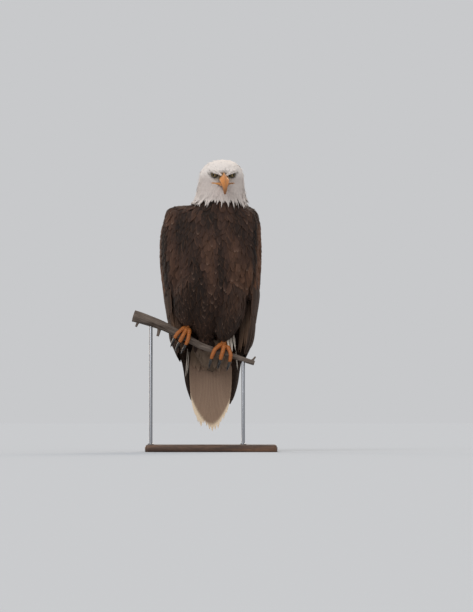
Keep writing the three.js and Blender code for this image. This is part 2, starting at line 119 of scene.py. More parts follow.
def unit(vectors):
    """Vectors divided by their own length."""
    return vectors / np.maximum(np.linalg.norm(vectors, axis=-1, keepdims=True), 1e-12)


def signed_power(value, exponent):
    return np.sign(value) * np.abs(value) ** exponent


def smooth_step(low, high, value):
    """0 below low, 1 above high, and 3x^2 - 2x^3 between them."""
    x = np.clip((value - low) / (high - low), 0, 1)
    return x * x * (3 - 2 * x)


def bell(*distances):
    """The bell curve exp(-(a^2 + b^2 + ...)) of distances, each given as a share of the bell's reach."""
    return np.exp(-sum(distance**2 for distance in distances))


def between(first, second, share):
    """All of the first value at share 0, all of the second at 1."""
    return first * (1 - share) + second * share


def round_angles(count):
    """Angles evenly spaced once round a circle."""
    return np.linspace(0, 2 * np.pi, count, endpoint=False)


def eased_steps(count):
    """Steps from 0 to 1 that stand closer at both ends: (1 - cos(pi s)) / 2 at even s."""
    return 0.5 - 0.5 * np.cos(np.linspace(0, np.pi, count))


def ring_grid(rings, columns):
    """Quads of rings that close on themselves, and a fan of triangles to a point at each end.

    The points are numbered ring by ring; the start point and the end point come after them all.
    """
    i = np.arange(rings - 1)[:, None] * columns
    j = np.arange(columns)[None, :]
    k = (j + 1) % columns
    quads = np.stack([i + j, i + k, i + columns + k, i + columns + j], -1).reshape(-1, 4)
    j, k = j.ravel(), k.ravel()
    start, end = rings * columns, rings * columns + 1
    last = (rings - 1) * columns
    fans = [(k, j, start), (last + j, last + k, end)]
    return quads, np.concatenate([np.stack(np.broadcast_arrays(*fan), -1) for fan in fans])


def volume_of(points, quads, triangles):
    """Signed volume: the sum of a . (b x c) / 6 over the triangles, positive where faces point out."""
    parts = [quads[:, [0, 1, 2]], quads[:, [0, 2, 3]], triangles]
    a, b, c = (points[np.concatenate(parts)[:, n]] for n in range(3))
    return float(np.einsum("ij,ij->i", a, np.cross(b, c)).sum() / 6)


def flat(values):
    """Values as the plain run of 32-bit numbers that foreach_set takes."""
    return np.ascontiguousarray(values, np.float32).ravel()


def new_mesh(name, points, quads, triangles):
    """A smooth mesh from arrays, turned so that its faces point out."""
    if volume_of(points, quads, triangles) < 0:
        quads, triangles = quads[:, ::-1], triangles[:, ::-1]
    mesh = bpy.data.meshes.new(name)
    corners = np.concatenate([quads.ravel(), triangles.ravel()]).astype(np.int32)
    sizes = np.concatenate([np.full(len(quads), 4), np.full(len(triangles), 3)])
    starts = np.concatenate([[0], np.cumsum(sizes)[:-1]]).astype(np.int32)
    mesh.vertices.add(len(points))
    mesh.vertices.foreach_set("co", flat(points))
    mesh.loops.add(len(corners))
    mesh.loops.foreach_set("vertex_index", corners)
    mesh.polygons.add(len(starts))
    mesh.polygons.foreach_set("loop_start", starts)
    mesh.update(calc_edges=True)
    mesh.shade_smooth()
    return mesh, corners


def add_uv(mesh, name, per_corner):
    mesh.uv_layers.new(name=name).uv.foreach_set("vector", flat(per_corner))


def add_colour(mesh, name, per_point):
    with_alpha = np.concatenate([per_point, np.ones((len(per_point), 1))], axis=1)
    layer = mesh.color_attributes.new(name, "FLOAT_COLOR", "POINT")
    layer.data.foreach_set("color", flat(with_alpha))


MADE = {}  # triangles of each finished piece, by name


def finish_piece(name, mesh, finish, replaces=()):
    """Puts a mesh into the scene as a piece that rides on the frame's one body. A finish is a material and
    the name of a slot; the slot is not used."""
    material, slot = finish
    mesh.materials.append(material)
    piece = new_object(name, mesh)
    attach(piece, "root")
    if replaces:
        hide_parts(*replaces)
    sizes = np.zeros(len(mesh.polygons), np.int32)
    mesh.polygons.foreach_get("loop_total", sizes)
    MADE[name] = int((sizes - 2).sum())
    print(f"{name}: {MADE[name]} triangles")


# %% [markdown]
# ## Tools for finishes
# Colours are written the way a painter's chart gives them, as 0 to 255, and turned into the linear light
# that the shader wants. A node group is a small machine with named inputs and outputs; each one here is
# built once and used by several materials.


# %% Colours and node helpers
def paint(red, green, blue):
    """A chart colour as linear light: v/12.92 below .04045, else ((v + .055)/1.055)^2.4."""
    v = np.array([red, green, blue], float) / 255
    return np.where(v <= 0.04045, v / 12.92, ((v + 0.055) / 1.055) ** 2.4)


def rgba(colour):
    return (*[float(c) for c in colour], 1.0)


def new_group(name, inputs, outputs):
    """An empty node group. inputs and outputs are lists of (name, socket kind, start value or None)."""
    group = bpy.data.node_groups.new(name, "ShaderNodeTree")
    for way, sockets in (("INPUT", inputs), ("OUTPUT", outputs)):
        for label, kind, value in sockets:
            socket = group.interface.new_socket(name=label, in_out=way, socket_type=f"NodeSocket{kind}")
            if value is not None:
                socket.default_value = value
    return group, group.nodes.new("NodeGroupInput"), group.nodes.new("NodeGroupOutput")


def set_inputs(tree, node, values):
    """Gives each named input a value, a colour, or a link where the value is another node's output."""
    for key, value in values.items():
        socket = node.inputs[key.replace("_", " ") if isinstance(key, str) else key]
        if isinstance(value, bpy.types.NodeSocket):
            tree.links.new(value, socket)
        else:
            socket.default_value = rgba(value) if isinstance(value, np.ndarray) else value
    return node


def new_node(tree, kind, values, **settings):
    """A shader node: its own settings come first, then its inputs."""
    node = tree.nodes.new(f"ShaderNode{kind}")
    for key, value in settings.items():
        setattr(node, key, value)
    return set_inputs(tree, node, values)


def math_node(tree, operation, first, second=0.5, clamp=False):
    values = {0: first, 1: second}
    return new_node(tree, "Math", values, operation=operation, use_clamp=clamp).outputs[0]


def ramp_node(tree, value, low, high, start=0.0, end=1.0):
    """A smooth ramp of value: start below low, end above high."""
    values = {"Value": value, "From Min": low, "From Max": high, "To Min": start, "To Max": end}
    return new_node(tree, "MapRange", values, interpolation_type="SMOOTHSTEP").outputs["Result"]


def blend_node(tree, share, first, second, how="MIX"):
    values = {0: share, 6: first, 7: second}
    return new_node(tree, "Mix", values, data_type="RGBA", blend_type=how).outputs[2]


def toned(tree, colour, grain, low, high, dark, light):
    """A colour times a ramp of a grain: dark below low, light above high."""
    return blend_node(tree, 1.0, colour, ramp_node(tree, grain, low, high, dark, light), "MULTIPLY")


def noise_node(tree, vector, scale, detail=3.0, roughness=0.55):
    values = {"Vector": vector, "Scale": scale, "Detail": detail, "Roughness": roughness}
    return new_node(tree, "TexNoise", values).outputs["Fac"]


def attribute_node(tree, name, output="Color"):
    return new_node(tree, "Attribute", {}, attribute_name=name).outputs[output]


def object_place(tree):
    return new_node(tree, "TexCoord", {}).outputs["Object"]


def stretched(tree, vector, scale):
    """A vector scaled along each axis, so that a grain runs long one way."""
    return new_node(tree, "Mapping", {"Vector": vector, "Scale": scale}).outputs["Vector"]


def new_material(name, **values):
    """A Principled material with its even values set on the shader's own sockets."""
    material = bpy.data.materials.new(name)
    material.use_nodes = True
    tree = material.node_tree
    return material, tree, set_inputs(tree, tree.nodes["Principled BSDF"], values)


def dress(tree, shader, height, distance, **values):
    """Leads a bump, and the values that change over the surface, into the shader."""
    bump = new_node(tree, "Bump", {"Distance": distance, "Height": height})
    set_inputs(tree, shader, {**values, "Normal": bump.outputs["Normal"]})


# %% [markdown]
# ## Where the head is
# The head has a frame of its own, between the eyes. It is turned a little to the bird's left and pitched
# down, so that the bird looks down its bill. Bill, eyes, lids and brow are all measured in it.

# %% The head's frame
HEAD_PLACE = np.array([34.0, -68.0, 801.0]) * MM
HEAD_TURN = np.radians(6)
HEAD_PITCH = np.radians(21)


def turn_matrix(axis, angle):
    """Rotation about one axis: the other two mix by the angle's cosine and sine."""
    matrix = np.eye(3)
    i, j = [(1, 2), (2, 0), (0, 1)]["xyz".index(axis)]
    matrix[[i, j], [i, j]] = np.cos(angle)
    matrix[i, j], matrix[j, i] = -np.sin(angle), np.sin(angle)
    return matrix


HEAD_AXES = turn_matrix("z", HEAD_TURN) @ turn_matrix("x", HEAD_PITCH)


def in_head(forward, lateral, up):
    """Points from head measures in mm: forward to the bill's tip, lateral to the bird's left, and up."""
    local = np.stack(np.broadcast_arrays(lateral, -np.asarray(forward, float), up), -1) * MM
    return HEAD_PLACE + local @ HEAD_AXES.T


def head_measures(points):
    """The other way: forward, lateral and up of points, in mm."""
    local = (points - HEAD_PLACE) @ HEAD_AXES / MM
    return -local[..., 1], local[..., 0], local[..., 2]


EYE_RADIUS = 9.6
EYE_LATERAL, EYE_FORWARD = 25.0, 3.0
EYES = {side: in_head(EYE_FORWARD, side * EYE_LATERAL, 0.0) for side in SIDES}
BILL_ROOT = in_head(13.0, 0.0, -4.0)
print("eyes at:", {SIDES[s]: np.round(p, 4).tolist() for s, p in EYES.items()})

# %% [markdown]
# ## The skin
# A bird's true outline is its feathers, and its body is much thinner. The frame's solids show the
# outline, so the skin is made from copies of them: joined, melted into one closed surface by a voxel
# remesh, and drawn inwards by the depth of the coat. No seam is left between head, neck, trunk and wing.
# A drawn or sculpted skin would need its own shape, and could miss the frame.

# %% One skin from the solids of flesh
COAT_DEPTH = {"head": 2.2, "neck": 3.6, "trunk": 5.6, "thigh_right": 5.0, "thigh_left": 5.0,
              "wing_right_coverts": 4.8, "wing_left_coverts": 4.8, "undertail_coverts": 5.0}  # mm
FLESH = list(COAT_DEPTH)  # a part's number is its place in this list
WHITE_PARTS = ["head", "neck"]
VOXEL = 3.2 * MM
CROWN_EXTRA = 1.2  # how much deeper the coat is on the crown, in mm
FULLER = [[-118, 698, 22, 22, 11], [-140, 640, 22, 50, 4], [-150, 550, 22, 90, 5], [112, 690, 20, 26, 10],
          [128, 655, 16, 34, 6]]  # shoulders and right side: x, z, reach in each, how much farther out, in mm


def read_points(mesh, what="co"):
    """The places of a mesh's points, or their normals, as rows of three."""
    values = np.zeros(len(mesh.vertices) * 3, np.float32)
    mesh.vertices.foreach_get(what, values)
    return values.reshape(-1, 3).astype(float)


def triangles_of(mesh):
    """Each triangle's three point numbers."""
    mesh.calc_loop_triangles()
    triangles = np.zeros(len(mesh.loop_triangles) * 3, np.int32)
    mesh.loop_triangles.foreach_get("vertices", triangles)
    return triangles.reshape(-1, 3)


def flesh_soup():
    """The flesh nodes' triangles in one list, with the number of the node that each comes from."""
    points, triangles, owners, count = [], [], [], 0
    for number, name in enumerate(FLESH):
        own_points, own_triangles = read_points(nodes[name].data), triangles_of(nodes[name].data)
        points.append(own_points)
        triangles.append(own_triangles + count)
        owners.append(np.full(len(own_triangles), number))
        count += len(own_points)
    return np.concatenate(points), np.concatenate(triangles), np.concatenate(owners)


def tree_of(points, triangles):
    return BVHTree.FromPolygons([Vector(p) for p in points], triangles.tolist())


soup_points, soup_triangles, soup_owners = flesh_soup()
flesh_tree = tree_of(soup_points, soup_triangles)


def parts_of(points):
    """The number in FLESH of the solid nearest to each point."""
    return np.array([soup_owners[flesh_tree.find_nearest(Vector(p))[2]] for p in points])


def remeshed(mesh, voxel, smoothing):
    """The mesh melted into one even surface, then relaxed."""
    helper = new_object("helper", mesh)
    remesh = helper.modifiers.new("remesh", "REMESH")
    remesh.mode = "VOXEL"
    remesh.voxel_size = voxel
    relax = helper.modifiers.new("relax", "SMOOTH")
    relax.factor = 0.5
    relax.iterations = smoothing
    graph = bpy.context.evaluated_depsgraph_get()
    made = bpy.data.meshes.new_from_object(helper.evaluated_get(graph))
    bpy.data.objects.remove(helper)
    return made


def merged_soup():
    """The soup as one mesh, with points that share a place made one."""
    mesh = bpy.data.meshes.new("flesh")
    mesh.from_pydata(soup_points.tolist(), [], soup_triangles.tolist())
    soft = bmesh.new()
    soft.from_mesh(mesh)
    bmesh.ops.remove_doubles(soft, verts=soft.verts, dist=1e-6)
    soft.to_mesh(mesh)
    soft.free()
    return mesh


def largest_body(mesh):
    """Deletes all but the largest connected body, so that no pocket between two solids is kept."""
    soft = bmesh.new()
    soft.from_mesh(mesh)
    waiting, best = set(soft.verts), []
    while waiting:
        seed = waiting.pop()
        found, front = [seed], [seed]
        while front:
            vertex = front.pop()
            for edge in vertex.link_edges:
                other = edge.other_vert(vertex)
                if other in waiting:
                    waiting.discard(other)
                    found.append(other)
                    front.append(other)
        best = max(best, found, key=len)
    kept = set(best)
    bmesh.ops.delete(soft, geom=[v for v in soft.verts if v not in kept], context="VERTS")
    soft.to_mesh(mesh)
    soft.free()
    return mesh


melted = largest_body(remeshed(merged_soup(), VOXEL, 4))
skin_points, skin_normals = read_points(melted), read_points(melted, "normal")
skin_depths = np.array(list(COAT_DEPTH.values()))[parts_of(skin_points)]
skin_x, skin_z = skin_points[:, 0] / MM, skin_points[:, 2] / MM
skin_depths += CROWN_EXTRA * smooth_step(822, 846, skin_z)
for x, z, wide, high, fuller in FULLER:
    skin_depths -= fuller * bell((skin_x - x) / wide, (skin_z - z) / high)
melted.vertices.foreach_set("co", flat(skin_points - skin_normals * skin_depths[:, None] * MM))
melted.update()
skin_mesh = largest_body(remeshed(melted, VOXEL, 6))
skin_points, skin_normals = read_points(skin_mesh), read_points(skin_mesh, "normal")
skin_triangles = triangles_of(skin_mesh)
skin_tree = tree_of(skin_points, skin_triangles)
print("skin:", len(skin_points), "points,", len(skin_triangles), "triangles")

# %% [markdown]
# ## An unwrap of the skin
# Every tuft needs a place of its own on a flat map, taken from the skin's own shape. Head, trunk, wings
# and thighs are all bodies that run from top to bottom, so each is unrolled as a cylinder: the turn round
# its own upright axis goes across, the height goes up, and each part gets its own cell of the map. Over
# the crown the height is swapped for the arc over the top, so that the map isn't squashed there.

# %% The cylinder unwrap
# lower left corner and size of each part's cell, and the cells' parts
CELLS = {"head": (0.0, 0.5, 0.5, 0.5), "neck": (0.0, 0.5, 0.5, 0.5), "trunk": (0.5, 0.5, 0.5, 0.5),
         "wing_right_coverts": (0.0, 0.0, 0.25, 0.5), "wing_left_coverts": (0.25, 0.0, 0.25, 0.5),
         "thigh_right": (0.5, 0.25, 0.25, 0.25), "thigh_left": (0.75, 0.25, 0.25, 0.25),
         "undertail_coverts": (0.5, 0.0, 0.5, 0.25)}
CELL_MARGIN = 0.06  # share of a cell left free along its border
SPANS = {name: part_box(name) for name in CELLS}  # lowest and highest corner of each part
SPANS["head"] = SPANS["neck"] = (SPANS["neck"][0], SPANS["head"][1])
CROWN_CENTRE, CROWN_RADIUS = 775 * MM, 62 * MM


def unwrapped(points, parts):
    """Map places of points: the turn about the part's axis, and the height, each as a share of the cell."""
    placed = np.zeros((len(points), 2))
    for number, name in enumerate(FLESH):
        chosen = parts == number
        low, high = (np.array(corner) for corner in SPANS[name])
        x, y, z = (points[chosen] - (low + high) / 2).T
        turn = 0.5 + np.arctan2(x, -y) / (2 * np.pi)
        height = z + (low + high)[2] / 2
        top = high[2]
        if name == "head":
            flat = np.hypot(x, y)
            over = np.arctan2(height - CROWN_CENTRE, flat)
            height = np.where(height > CROWN_CENTRE, CROWN_CENTRE + CROWN_RADIUS * over, height)
            top = CROWN_CENTRE + CROWN_RADIUS * np.pi / 2
        share = (height - low[2]) / (top - low[2])
        left, bottom, wide, tall = CELLS[name]
        inner = CELL_MARGIN + (1 - 2 * CELL_MARGIN) * np.clip(np.stack([turn, share], -1), 0, 1)
        placed[chosen] = np.array([left, bottom]) + inner * np.array([wide, tall])
    return placed


# %% [markdown]
# ## Markings
# An adult bald eagle is plain: white head and neck, white tail, and a dark brown body whose feathers have
# paler, rusty edges. The brown is never even. Patches of fresh, darker feathers lie among worn, warmer
# ones. One function gives the colour of any place, and both the skin and every feather ask it, so they
# always agree.

# %% The colour of each place
WHITE = paint(227, 219, 213)
CHEEK = paint(194, 183, 177)
LORE = paint(138, 118, 84)
EYE_SHADE = paint(96, 90, 80)
BROWN = paint(63, 44, 36)
DARK_BROWN = paint(39, 28, 23)
WARM_BROWN = paint(92, 65, 50)
BELLY_BROWN = paint(43, 29, 22)
THIGH_BROWN = paint(57, 40, 32)
# painted shade: the white undertail coverts are coloured the buff brown that they show in shade
SHADED_TAIL_COVERT = paint(112, 95, 80)
COLLAR_Z, COLLAR_X = 731 * MM, 25 * MM  # where the white of the neck ends, and its middle
# rusty brown of worn feathers, also used as painted rim light along the wing's outline
RUST_AND_RIM_LIGHT = paint(150, 100, 70)
# the folded wing's front edge, where it presses into the breast: height, distance from the middle, in mm
WING_EDGE = {LEFT: [[400, 100], [460, 111], [500, 124], [690, 126]],
             RIGHT: [[400, 98], [442, 109], [491, 131], [560, 140], [690, 138]]}

WAVES = np.random.default_rng(11).normal(size=(9, 3))
WAVE_STARTS = np.random.default_rng(12).uniform(0, 2 * np.pi, 9)


def drift(points, size):
    """A soft, even random field from -1 to 1: the mean of nine sine waves in random directions, about size
    metres from one crest to the next."""
    return np.clip(np.sin(points @ WAVES.T * (2.6 / size) + WAVE_STARTS).sum(-1) / 3.2, -1, 1)


def mixed(first, second, share):
    return first + (second - first) * np.clip(share, 0, 1)[:, None]


def collar_height(points):
    """How low the white of the neck reaches: higher over the shoulders."""
    lower = 12 * MM * smooth_step(-8, -45, points[:, 0] / MM)
    return COLLAR_Z - lower + 1.3 * np.clip(np.abs(points[:, 0] - COLLAR_X) - 68 * MM, 0, None)


def past_wing_edge(points):
    """How far outside the folded wing's front edge each point is, in mm."""
    x, height = points[..., 0] / MM, points[..., 2] / MM
    left, right = (np.interp(height, *np.transpose(WING_EDGE[side])) for side in (LEFT, RIGHT))
    return np.abs(x) - np.where(x > 0, left, right)


def gap_shade(points):
    """Painted shade: 1, but a quarter in the narrow gap between breast and wing, a bell curve about the
    wing's edge.
    """
    y, z = points[..., 1] / MM, points[..., 2] / MM
    front = smooth_step(30, 0, y) * smooth_step(385, 430, z) * smooth_step(706, 680, z)
    return 1 - 0.75 * front * bell(past_wing_edge(points) / 4.5)


def markings(points, parts):
    """The coat's colour at each point, in linear light."""
    named = np.array(FLESH)[parts]
    x, y, z = points.T
    # the body: dark and warm patches, with a dark belly and a worn place on the left thigh
    patch = drift(points * [1, 1, 0.45], 0.055)
    brown = mixed(mixed(BROWN, DARK_BROWN, patch * 1.3), WARM_BROWN, -patch * 0.9)
    brown = mixed(brown, BELLY_BROWN, 0.8 * smooth_step(0.500, 0.440, z) * (named == "trunk"))
    worn = bell((x / MM - 66) / 28, (z / MM - 420) / 40)
    thigh = mixed(mixed(THIGH_BROWN, DARK_BROWN, 0.5 + patch), WARM_BROWN, worn * (0.55 - 0.5 * patch))
    # the head: greyer cheeks on the lower face, partly their own dusky tone and partly painted shade, the
    # lore between bill and eye, and painted shade round the eye, under the brow
    forward, lateral, up = head_measures(points)
    from_eye = np.hypot(np.hypot(forward - EYE_FORWARD, np.abs(lateral) - EYE_LATERAL), up * 1.25)
    cheek = smooth_step(4, -16, up) * smooth_step(-105, -35, up) * smooth_step(-48, -16, forward)
    lore = smooth_step(6, 14, forward) * smooth_step(12, 5, np.abs(up + 3)) * (np.abs(lateral) < 27)
    white = mixed(mixed(WHITE, CHEEK, cheek), LORE, 0.85 * lore)
    white = mixed(white, EYE_SHADE, 0.85 * smooth_step(15.5, 11.5, from_eye))
    # rust along the wing's front edge, and in patches on the outer side near the outline: partly the
    # feathers' own rust, partly painted rim light; the wings are darker as a whole
    on_edge = smooth_step(-1, 9, past_wing_edge(points)) * smooth_step(20, -20, y / MM)
    outer = smooth_step(0.112, 0.152, np.abs(x) - 0.02 * patch) * smooth_step(0.44, 0.60, z)
    brown = mixed(brown, RUST_AND_RIM_LIGHT, np.maximum(0.45 * on_edge, outer * np.clip(0.34 - 0.8 * patch, 0.1, 0.42)))
    brown = brown * np.where(np.char.startswith(named, "wing"), 0.84, 1.0)[:, None]
    pale = np.isin(named, WHITE_PARTS) & (z > collar_height(points) + 3 * MM * drift(points, 0.03))
    made = np.where(pale[:, None], white, brown)
    made = np.where(np.char.startswith(named, "thigh")[:, None], thigh, made)
    return np.where((named == "undertail_coverts")[:, None], SHADED_TAIL_COVERT, made)


# %% [markdown]
# ## Where feathers grow and how they lie
# Real feathers grow in tracts, evenly spaced, small on the face and large on the body. Points are strewn
# over the skin by area and thinned until no two stand closer than the spacing of their place: dart
# throwing, also known as Poisson discs. A scatter without thinning would leave bald spots beside clumps.
#
# The lie is a field of directions. On the head the feathers stream back from the bill's root, and turn
# down behind the eye. Everywhere else they run down the body, a little to the back on the wings.


# %% Roots and lie
def strewn(count, wanted, seed):
    """Random places on the skin, even by area: triangle by the running sum of areas, and corner weights
    1 - sqrt(u), sqrt(u)(1 - v), sqrt(u)v inside it. Only places whose part is wanted are kept."""
    random = np.random.default_rng(seed)
    a, b, c = (skin_points[skin_triangles[:, n]] for n in range(3))
    areas = np.linalg.norm(np.cross(b - a, c - a), axis=1)
    chosen = np.searchsorted(np.cumsum(areas) / areas.sum(), random.random(count))
    u, v = np.sqrt(random.random((count, 1))), random.random((count, 1))
    weights = np.concatenate([1 - u, u * (1 - v), u * v], axis=1)[:, :, None]
    corners = skin_triangles[chosen]
    places = (skin_points[corners] * weights).sum(1)
    normals = unit((skin_normals[corners] * weights).sum(1))
    parts = parts_of(places + normals * 4 * MM)
    kept = np.isin(parts, [FLESH.index(name) for name in wanted])
    return places[kept], normals[kept], parts[kept]


def thinned(places, spacing):
    """Indices of places taken one by one, each ruling out all others within its own spacing."""
    tree = KDTree(len(places))
    for number, place in enumerate(places):
        tree.insert(place, number)
    tree.balance()
    free, kept = np.ones(len(places), bool), []
    for number in range(len(places)):
        if free[number]:
            kept.append(number)
            free[[found[1] for found in tree.find_range(places[number], spacing[number])]] = False
    return np.array(kept)


def flattened(directions, normals):
    """Directions laid along the surface: what points out of it is taken away."""
    return unit(directions - normals * (directions * normals).sum(-1, keepdims=True))


def lie_of(places, normals, parts):
    """The direction in which feathers lie at each place."""
    named = np.array(FLESH)[parts]
    down, back = np.array([0.0, 0.0, -1.0]), np.array([0.0, 1.0, 0.0])
    forward, _, up = head_measures(places)
    downward = smooth_step(0, -45, forward) * 1.6 + smooth_step(0, -45, up) * 1.1
    head = unit(places - BILL_ROOT) + down * downward[:, None]
    outward = unit(places * [1, 1, 0] - [0.015, 0, 0])
    made = np.where(np.isin(named, WHITE_PARTS)[:, None], head, down + outward * 0.05)
    made = np.where(np.char.startswith(named, "wing")[:, None], down + back * 0.22, made)
    return flattened(made, normals)


def draped(places):
    """The skin's nearest place, and its normal there, for each point."""
    found = [skin_tree.find_nearest(Vector(place)) for place in places]
    return np.array([hit[0] for hit in found]), np.array([hit[1] for hit in found])


# %% [markdown]
# ## A vane
# A feather is a shaft with a thin vane on either side. It could be one flat quad with a see-through
# picture on it, but a solid model needs real edges. So each one is a closed thin shell: a grid that runs
# along the shaft and across both vanes, arched across, with a ridge for the shaft and a ragged border,
# and a second layer under it that shares the border. All feathers of a piece are worked out at once, as
# one big array.


# %% Vane shells
def outline_of(t, belly, fullness, tip):
    """A vane's half width as a share of the whole, at share t of its length: it swells as (t/belly)^.45 up to
    the belly, then shrinks as (1 - s^fullness)^tip over the rest, s running from 0 to 1."""
    s = np.clip((t - belly) / (1 - belly), 0, 1)
    return np.minimum(np.clip(t / belly, 0, 1) ** 0.45, (1 - s**fullness) ** tip)


def vane_shells(centres, outs, halves, columns, thick, cup, ridge):
    """Closed shells round shafts, as (feather, point) arrays of places and of vane coordinates.

    centres and outs are (feather, station, 3): the shaft's points, and the way the face looks. halves is
    (feather, station, 2): the half widths to either side. An outer point at share u across stands u times the
    half width out, and cup times u squared of it down.
    """
    along = unit(np.gradient(centres, axis=1))
    across = unit(np.cross(along, outs))
    faces = np.cross(across, along)
    u = np.linspace(-1, 1, columns)
    reach = np.where(u < 0, halves[..., :1], halves[..., 1:]) * u
    rise = -np.abs(reach * u) * cup + ridge * (np.abs(u) < 1e-9)
    upper = centres[:, :, None] + across[:, :, None] * reach[..., None] + faces[:, :, None] * rise[..., None]
    lower = upper[:, :, 1:-1] - faces[:, :, None] * thick
    rings = np.concatenate([upper, lower[:, :, ::-1]], axis=2)[:, 1:-1]
    ends = centres[:, [0, -1]]
    feathers, stations = centres.shape[:2]
    points = np.concatenate([rings.reshape(feathers, -1, 3), ends], axis=1)
    ring_u = np.concatenate([u, u[-2:0:-1]])
    t = np.linspace(0, 1, stations)
    grid = np.stack(np.meshgrid(t[1:-1], ring_u, indexing="ij")[::-1], -1).reshape(-1, 2)
    coordinates = np.concatenate([grid, [[0, 0], [0, 1]]]) * [0.5, 1] + [0.5, 0]
    return points, coordinates


def crisp_outlines(mesh, coordinates):
    """Marks the edges of each feather's outline sharp, so the thin face shades flat up to its border."""
    outline = (np.abs(coordinates - 0.5) > 0.49).any(-1)
    ends = np.empty((len(mesh.edges), 2), np.int32)
    mesh.edges.foreach_get("vertices", ends.ravel())
    sharp = outline[ends % len(outline)].all(-1)
    mesh.attributes.new("sharp_edge", "BOOLEAN", "EDGE").data.foreach_set("value", sharp)


def vane_mesh(name, points, coordinates, columns, baked, colours):
    """One mesh of all shells. The Vane map runs 0 to 1 across and along each feather. baked, for the OFBake
    map, and colours, for the Coat attribute, are given per feather and point."""
    count, per_feather = points.shape[:2]
    around = 2 * columns - 2
    quads, triangles = ring_grid((per_feather - 2) // around, around)
    shift = (np.arange(count) * per_feather)[:, None, None]
    mesh, corners = new_mesh(name, points.reshape(-1, 3), (quads + shift).reshape(-1, 4),
                             (triangles + shift).reshape(-1, 3))
    crisp_outlines(mesh, coordinates)
    add_uv(mesh, "Vane", np.tile(coordinates, (count, 1))[corners])
    add_uv(mesh, "OFBake", baked.reshape(-1, 2)[corners])
    add_colour(mesh, "Coat", colours.reshape(-1, 3))
    return mesh


TUFT = 0.003  # width of each tuft's patch on the unwrap


def tuft_patches(places, parts, coordinates):
    """Each feather's patch of the OFBake map, at its root's place on the unwrap."""
    return unwrapped(places, parts)[:, None] + (coordinates[None] - 0.5) * TUFT


# %% Contour feathers
WORN_TIP = paint(156, 128, 112)  # sun-bleached tips of old body feathers
WORN_HEIGHT = (0.6, 0.5)  # metres: few feathers are old above, most of the old ones grow below
TIP_SHADE = 1.06


def contour_feathers(name, roots, size, style, finish, seed, lie=None, keep=None):
    """Body feathers from roots (places, normals, parts), as one piece.

    size is (length, width, lift) in mm, each a number or an array. The shaft is the parabola through the
    root, a point over the skin half a length on, and the tip over the skin a length on. Lift grows from root
    to tip, so an upper feather always lies over the ones that grow below it.
    """
    random = np.random.default_rng(seed)
    places, normals, parts = roots
    count = len(places)
    length, width, lift = (np.broadcast_to(np.asarray(v, float), count) * MM for v in size)
    length = length * random.uniform(0.85, 1.15, count)
    width = width * random.uniform(0.85, 1.15, count)
    way = lie_of(places, normals, parts) if lie is None else flattened(lie, normals)
    swing = (np.radians(style["swing"]) * random.normal(size=count))[:, None]
    way = way * np.cos(swing) + np.cross(normals, way) * np.sin(swing)
    middle, middle_out = draped(places + way * length[:, None] / 2)
    way = flattened(middle - places, middle_out)
    tip, tip_out = draped(middle + way * length[:, None] / 2)
    # two feathers in five stand off more than the rest, and all lie flatter where the skin faces up
    ruffled = np.minimum(random.exponential(1, count), 2) * (random.random(count) < 0.4)
    raised = lift * (1 + style["ruffle"] * ruffled)
    raised = raised * (1 - 0.4 * np.clip(normals[:, 2], 0, 1) ** 2)
    start = places - normals * style["sink"] * MM
    middle = middle + middle_out * raised[:, None] * 0.5
    tip = tip + tip_out * raised[:, None]
    # a feather that bridges a hollow stands off the skin two thirds of the way down, and is left out
    late = 0.84 * middle + 0.28 * tip - 0.12 * start
    chosen = np.linalg.norm(late - draped(late)[0], axis=1) < raised + style["bridge"] * MM
    if keep is not None:
        chosen &= keep(middle) & keep(tip)
    start, middle, tip, normals, middle_out, tip_out, width, places, parts = (
        v[chosen] for v in (start, middle, tip, normals, middle_out, tip_out, width, places, parts))
    count, stations, columns = len(start), style["stations"], style["columns"]
    t = eased_steps(stations)
    first, second, third = ((1 - t) * (1 - 2 * t), 4 * t * (1 - t), t * (2 * t - 1))
    centres = np.einsum("js,fjc->fsc", [first, second, third], np.stack([start, middle, tip], 1))
    outs = unit(np.einsum("js,fjc->fsc", [np.clip(first, 0, 1), second, np.clip(third, 0, 1)],
                          np.stack([normals, middle_out, tip_out], 1)))
    roll = np.radians(style["roll"]) * random.normal(size=count)
    across = unit(np.cross(np.gradient(centres, axis=1), outs))
    outs = unit(outs + across * np.sin(roll)[:, None, None])
    uneven = style["ragged"] * random.uniform(-1, 0.4, (count, stations, 2))
    ragged = 1 + uneven * smooth_step(0.2, 0.7, t)[:, None]
    halves = width[:, None, None] / 2 * outline_of(t, *style["outline"])[:, None] * ragged
    points, coordinates = vane_shells(centres, outs, halves, columns, style["thick"] * MM, style["cup"],
                                      style["ridge"] * MM)
    colour = markings(places, parts) * (1 + style["spread"] * random.normal(size=(count, 1)))
    # painted shade: each feather darkens towards its root, under its neighbours, by root_shade, and is a
    # little lighter at its tip
    shade = style["root_shade"] + (TIP_SHADE - style["root_shade"]) * coordinates[:, 1]
    old = random.random(count) < style["worn"] * (0.25 + smooth_step(*WORN_HEIGHT, places[:, 2]))
    worn = old[:, None, None] * smooth_step(0.7, 1.0, coordinates[:, 1])[:, None]
    colours = colour[:, None] * shade[None, :, None] * (1 - 0.5 * worn) + WORN_TIP * 0.5 * worn
    # painted shade in the narrow gap between breast and wing
    colours = np.clip(colours * gap_shade(points)[..., None], 0.005, 1)
    baked = tuft_patches(places, parts, coordinates)
    finish_piece(name, vane_mesh(name, points, coordinates, columns, baked, colours), finish)


# %% [markdown]
# ## The feather finish
# A vane is made of barbs, fine parallel branches that leave the shaft at a slant. They give each feather
# its silky grain. The finish reads the Vane map, so the grain follows each feather: stripes that slant
# away from the shaft drive the bump, the shaft itself is a little darker or paler, and the edges are worn
# paler. The even colour comes from the Coat attribute, which the markings gave to each feather.

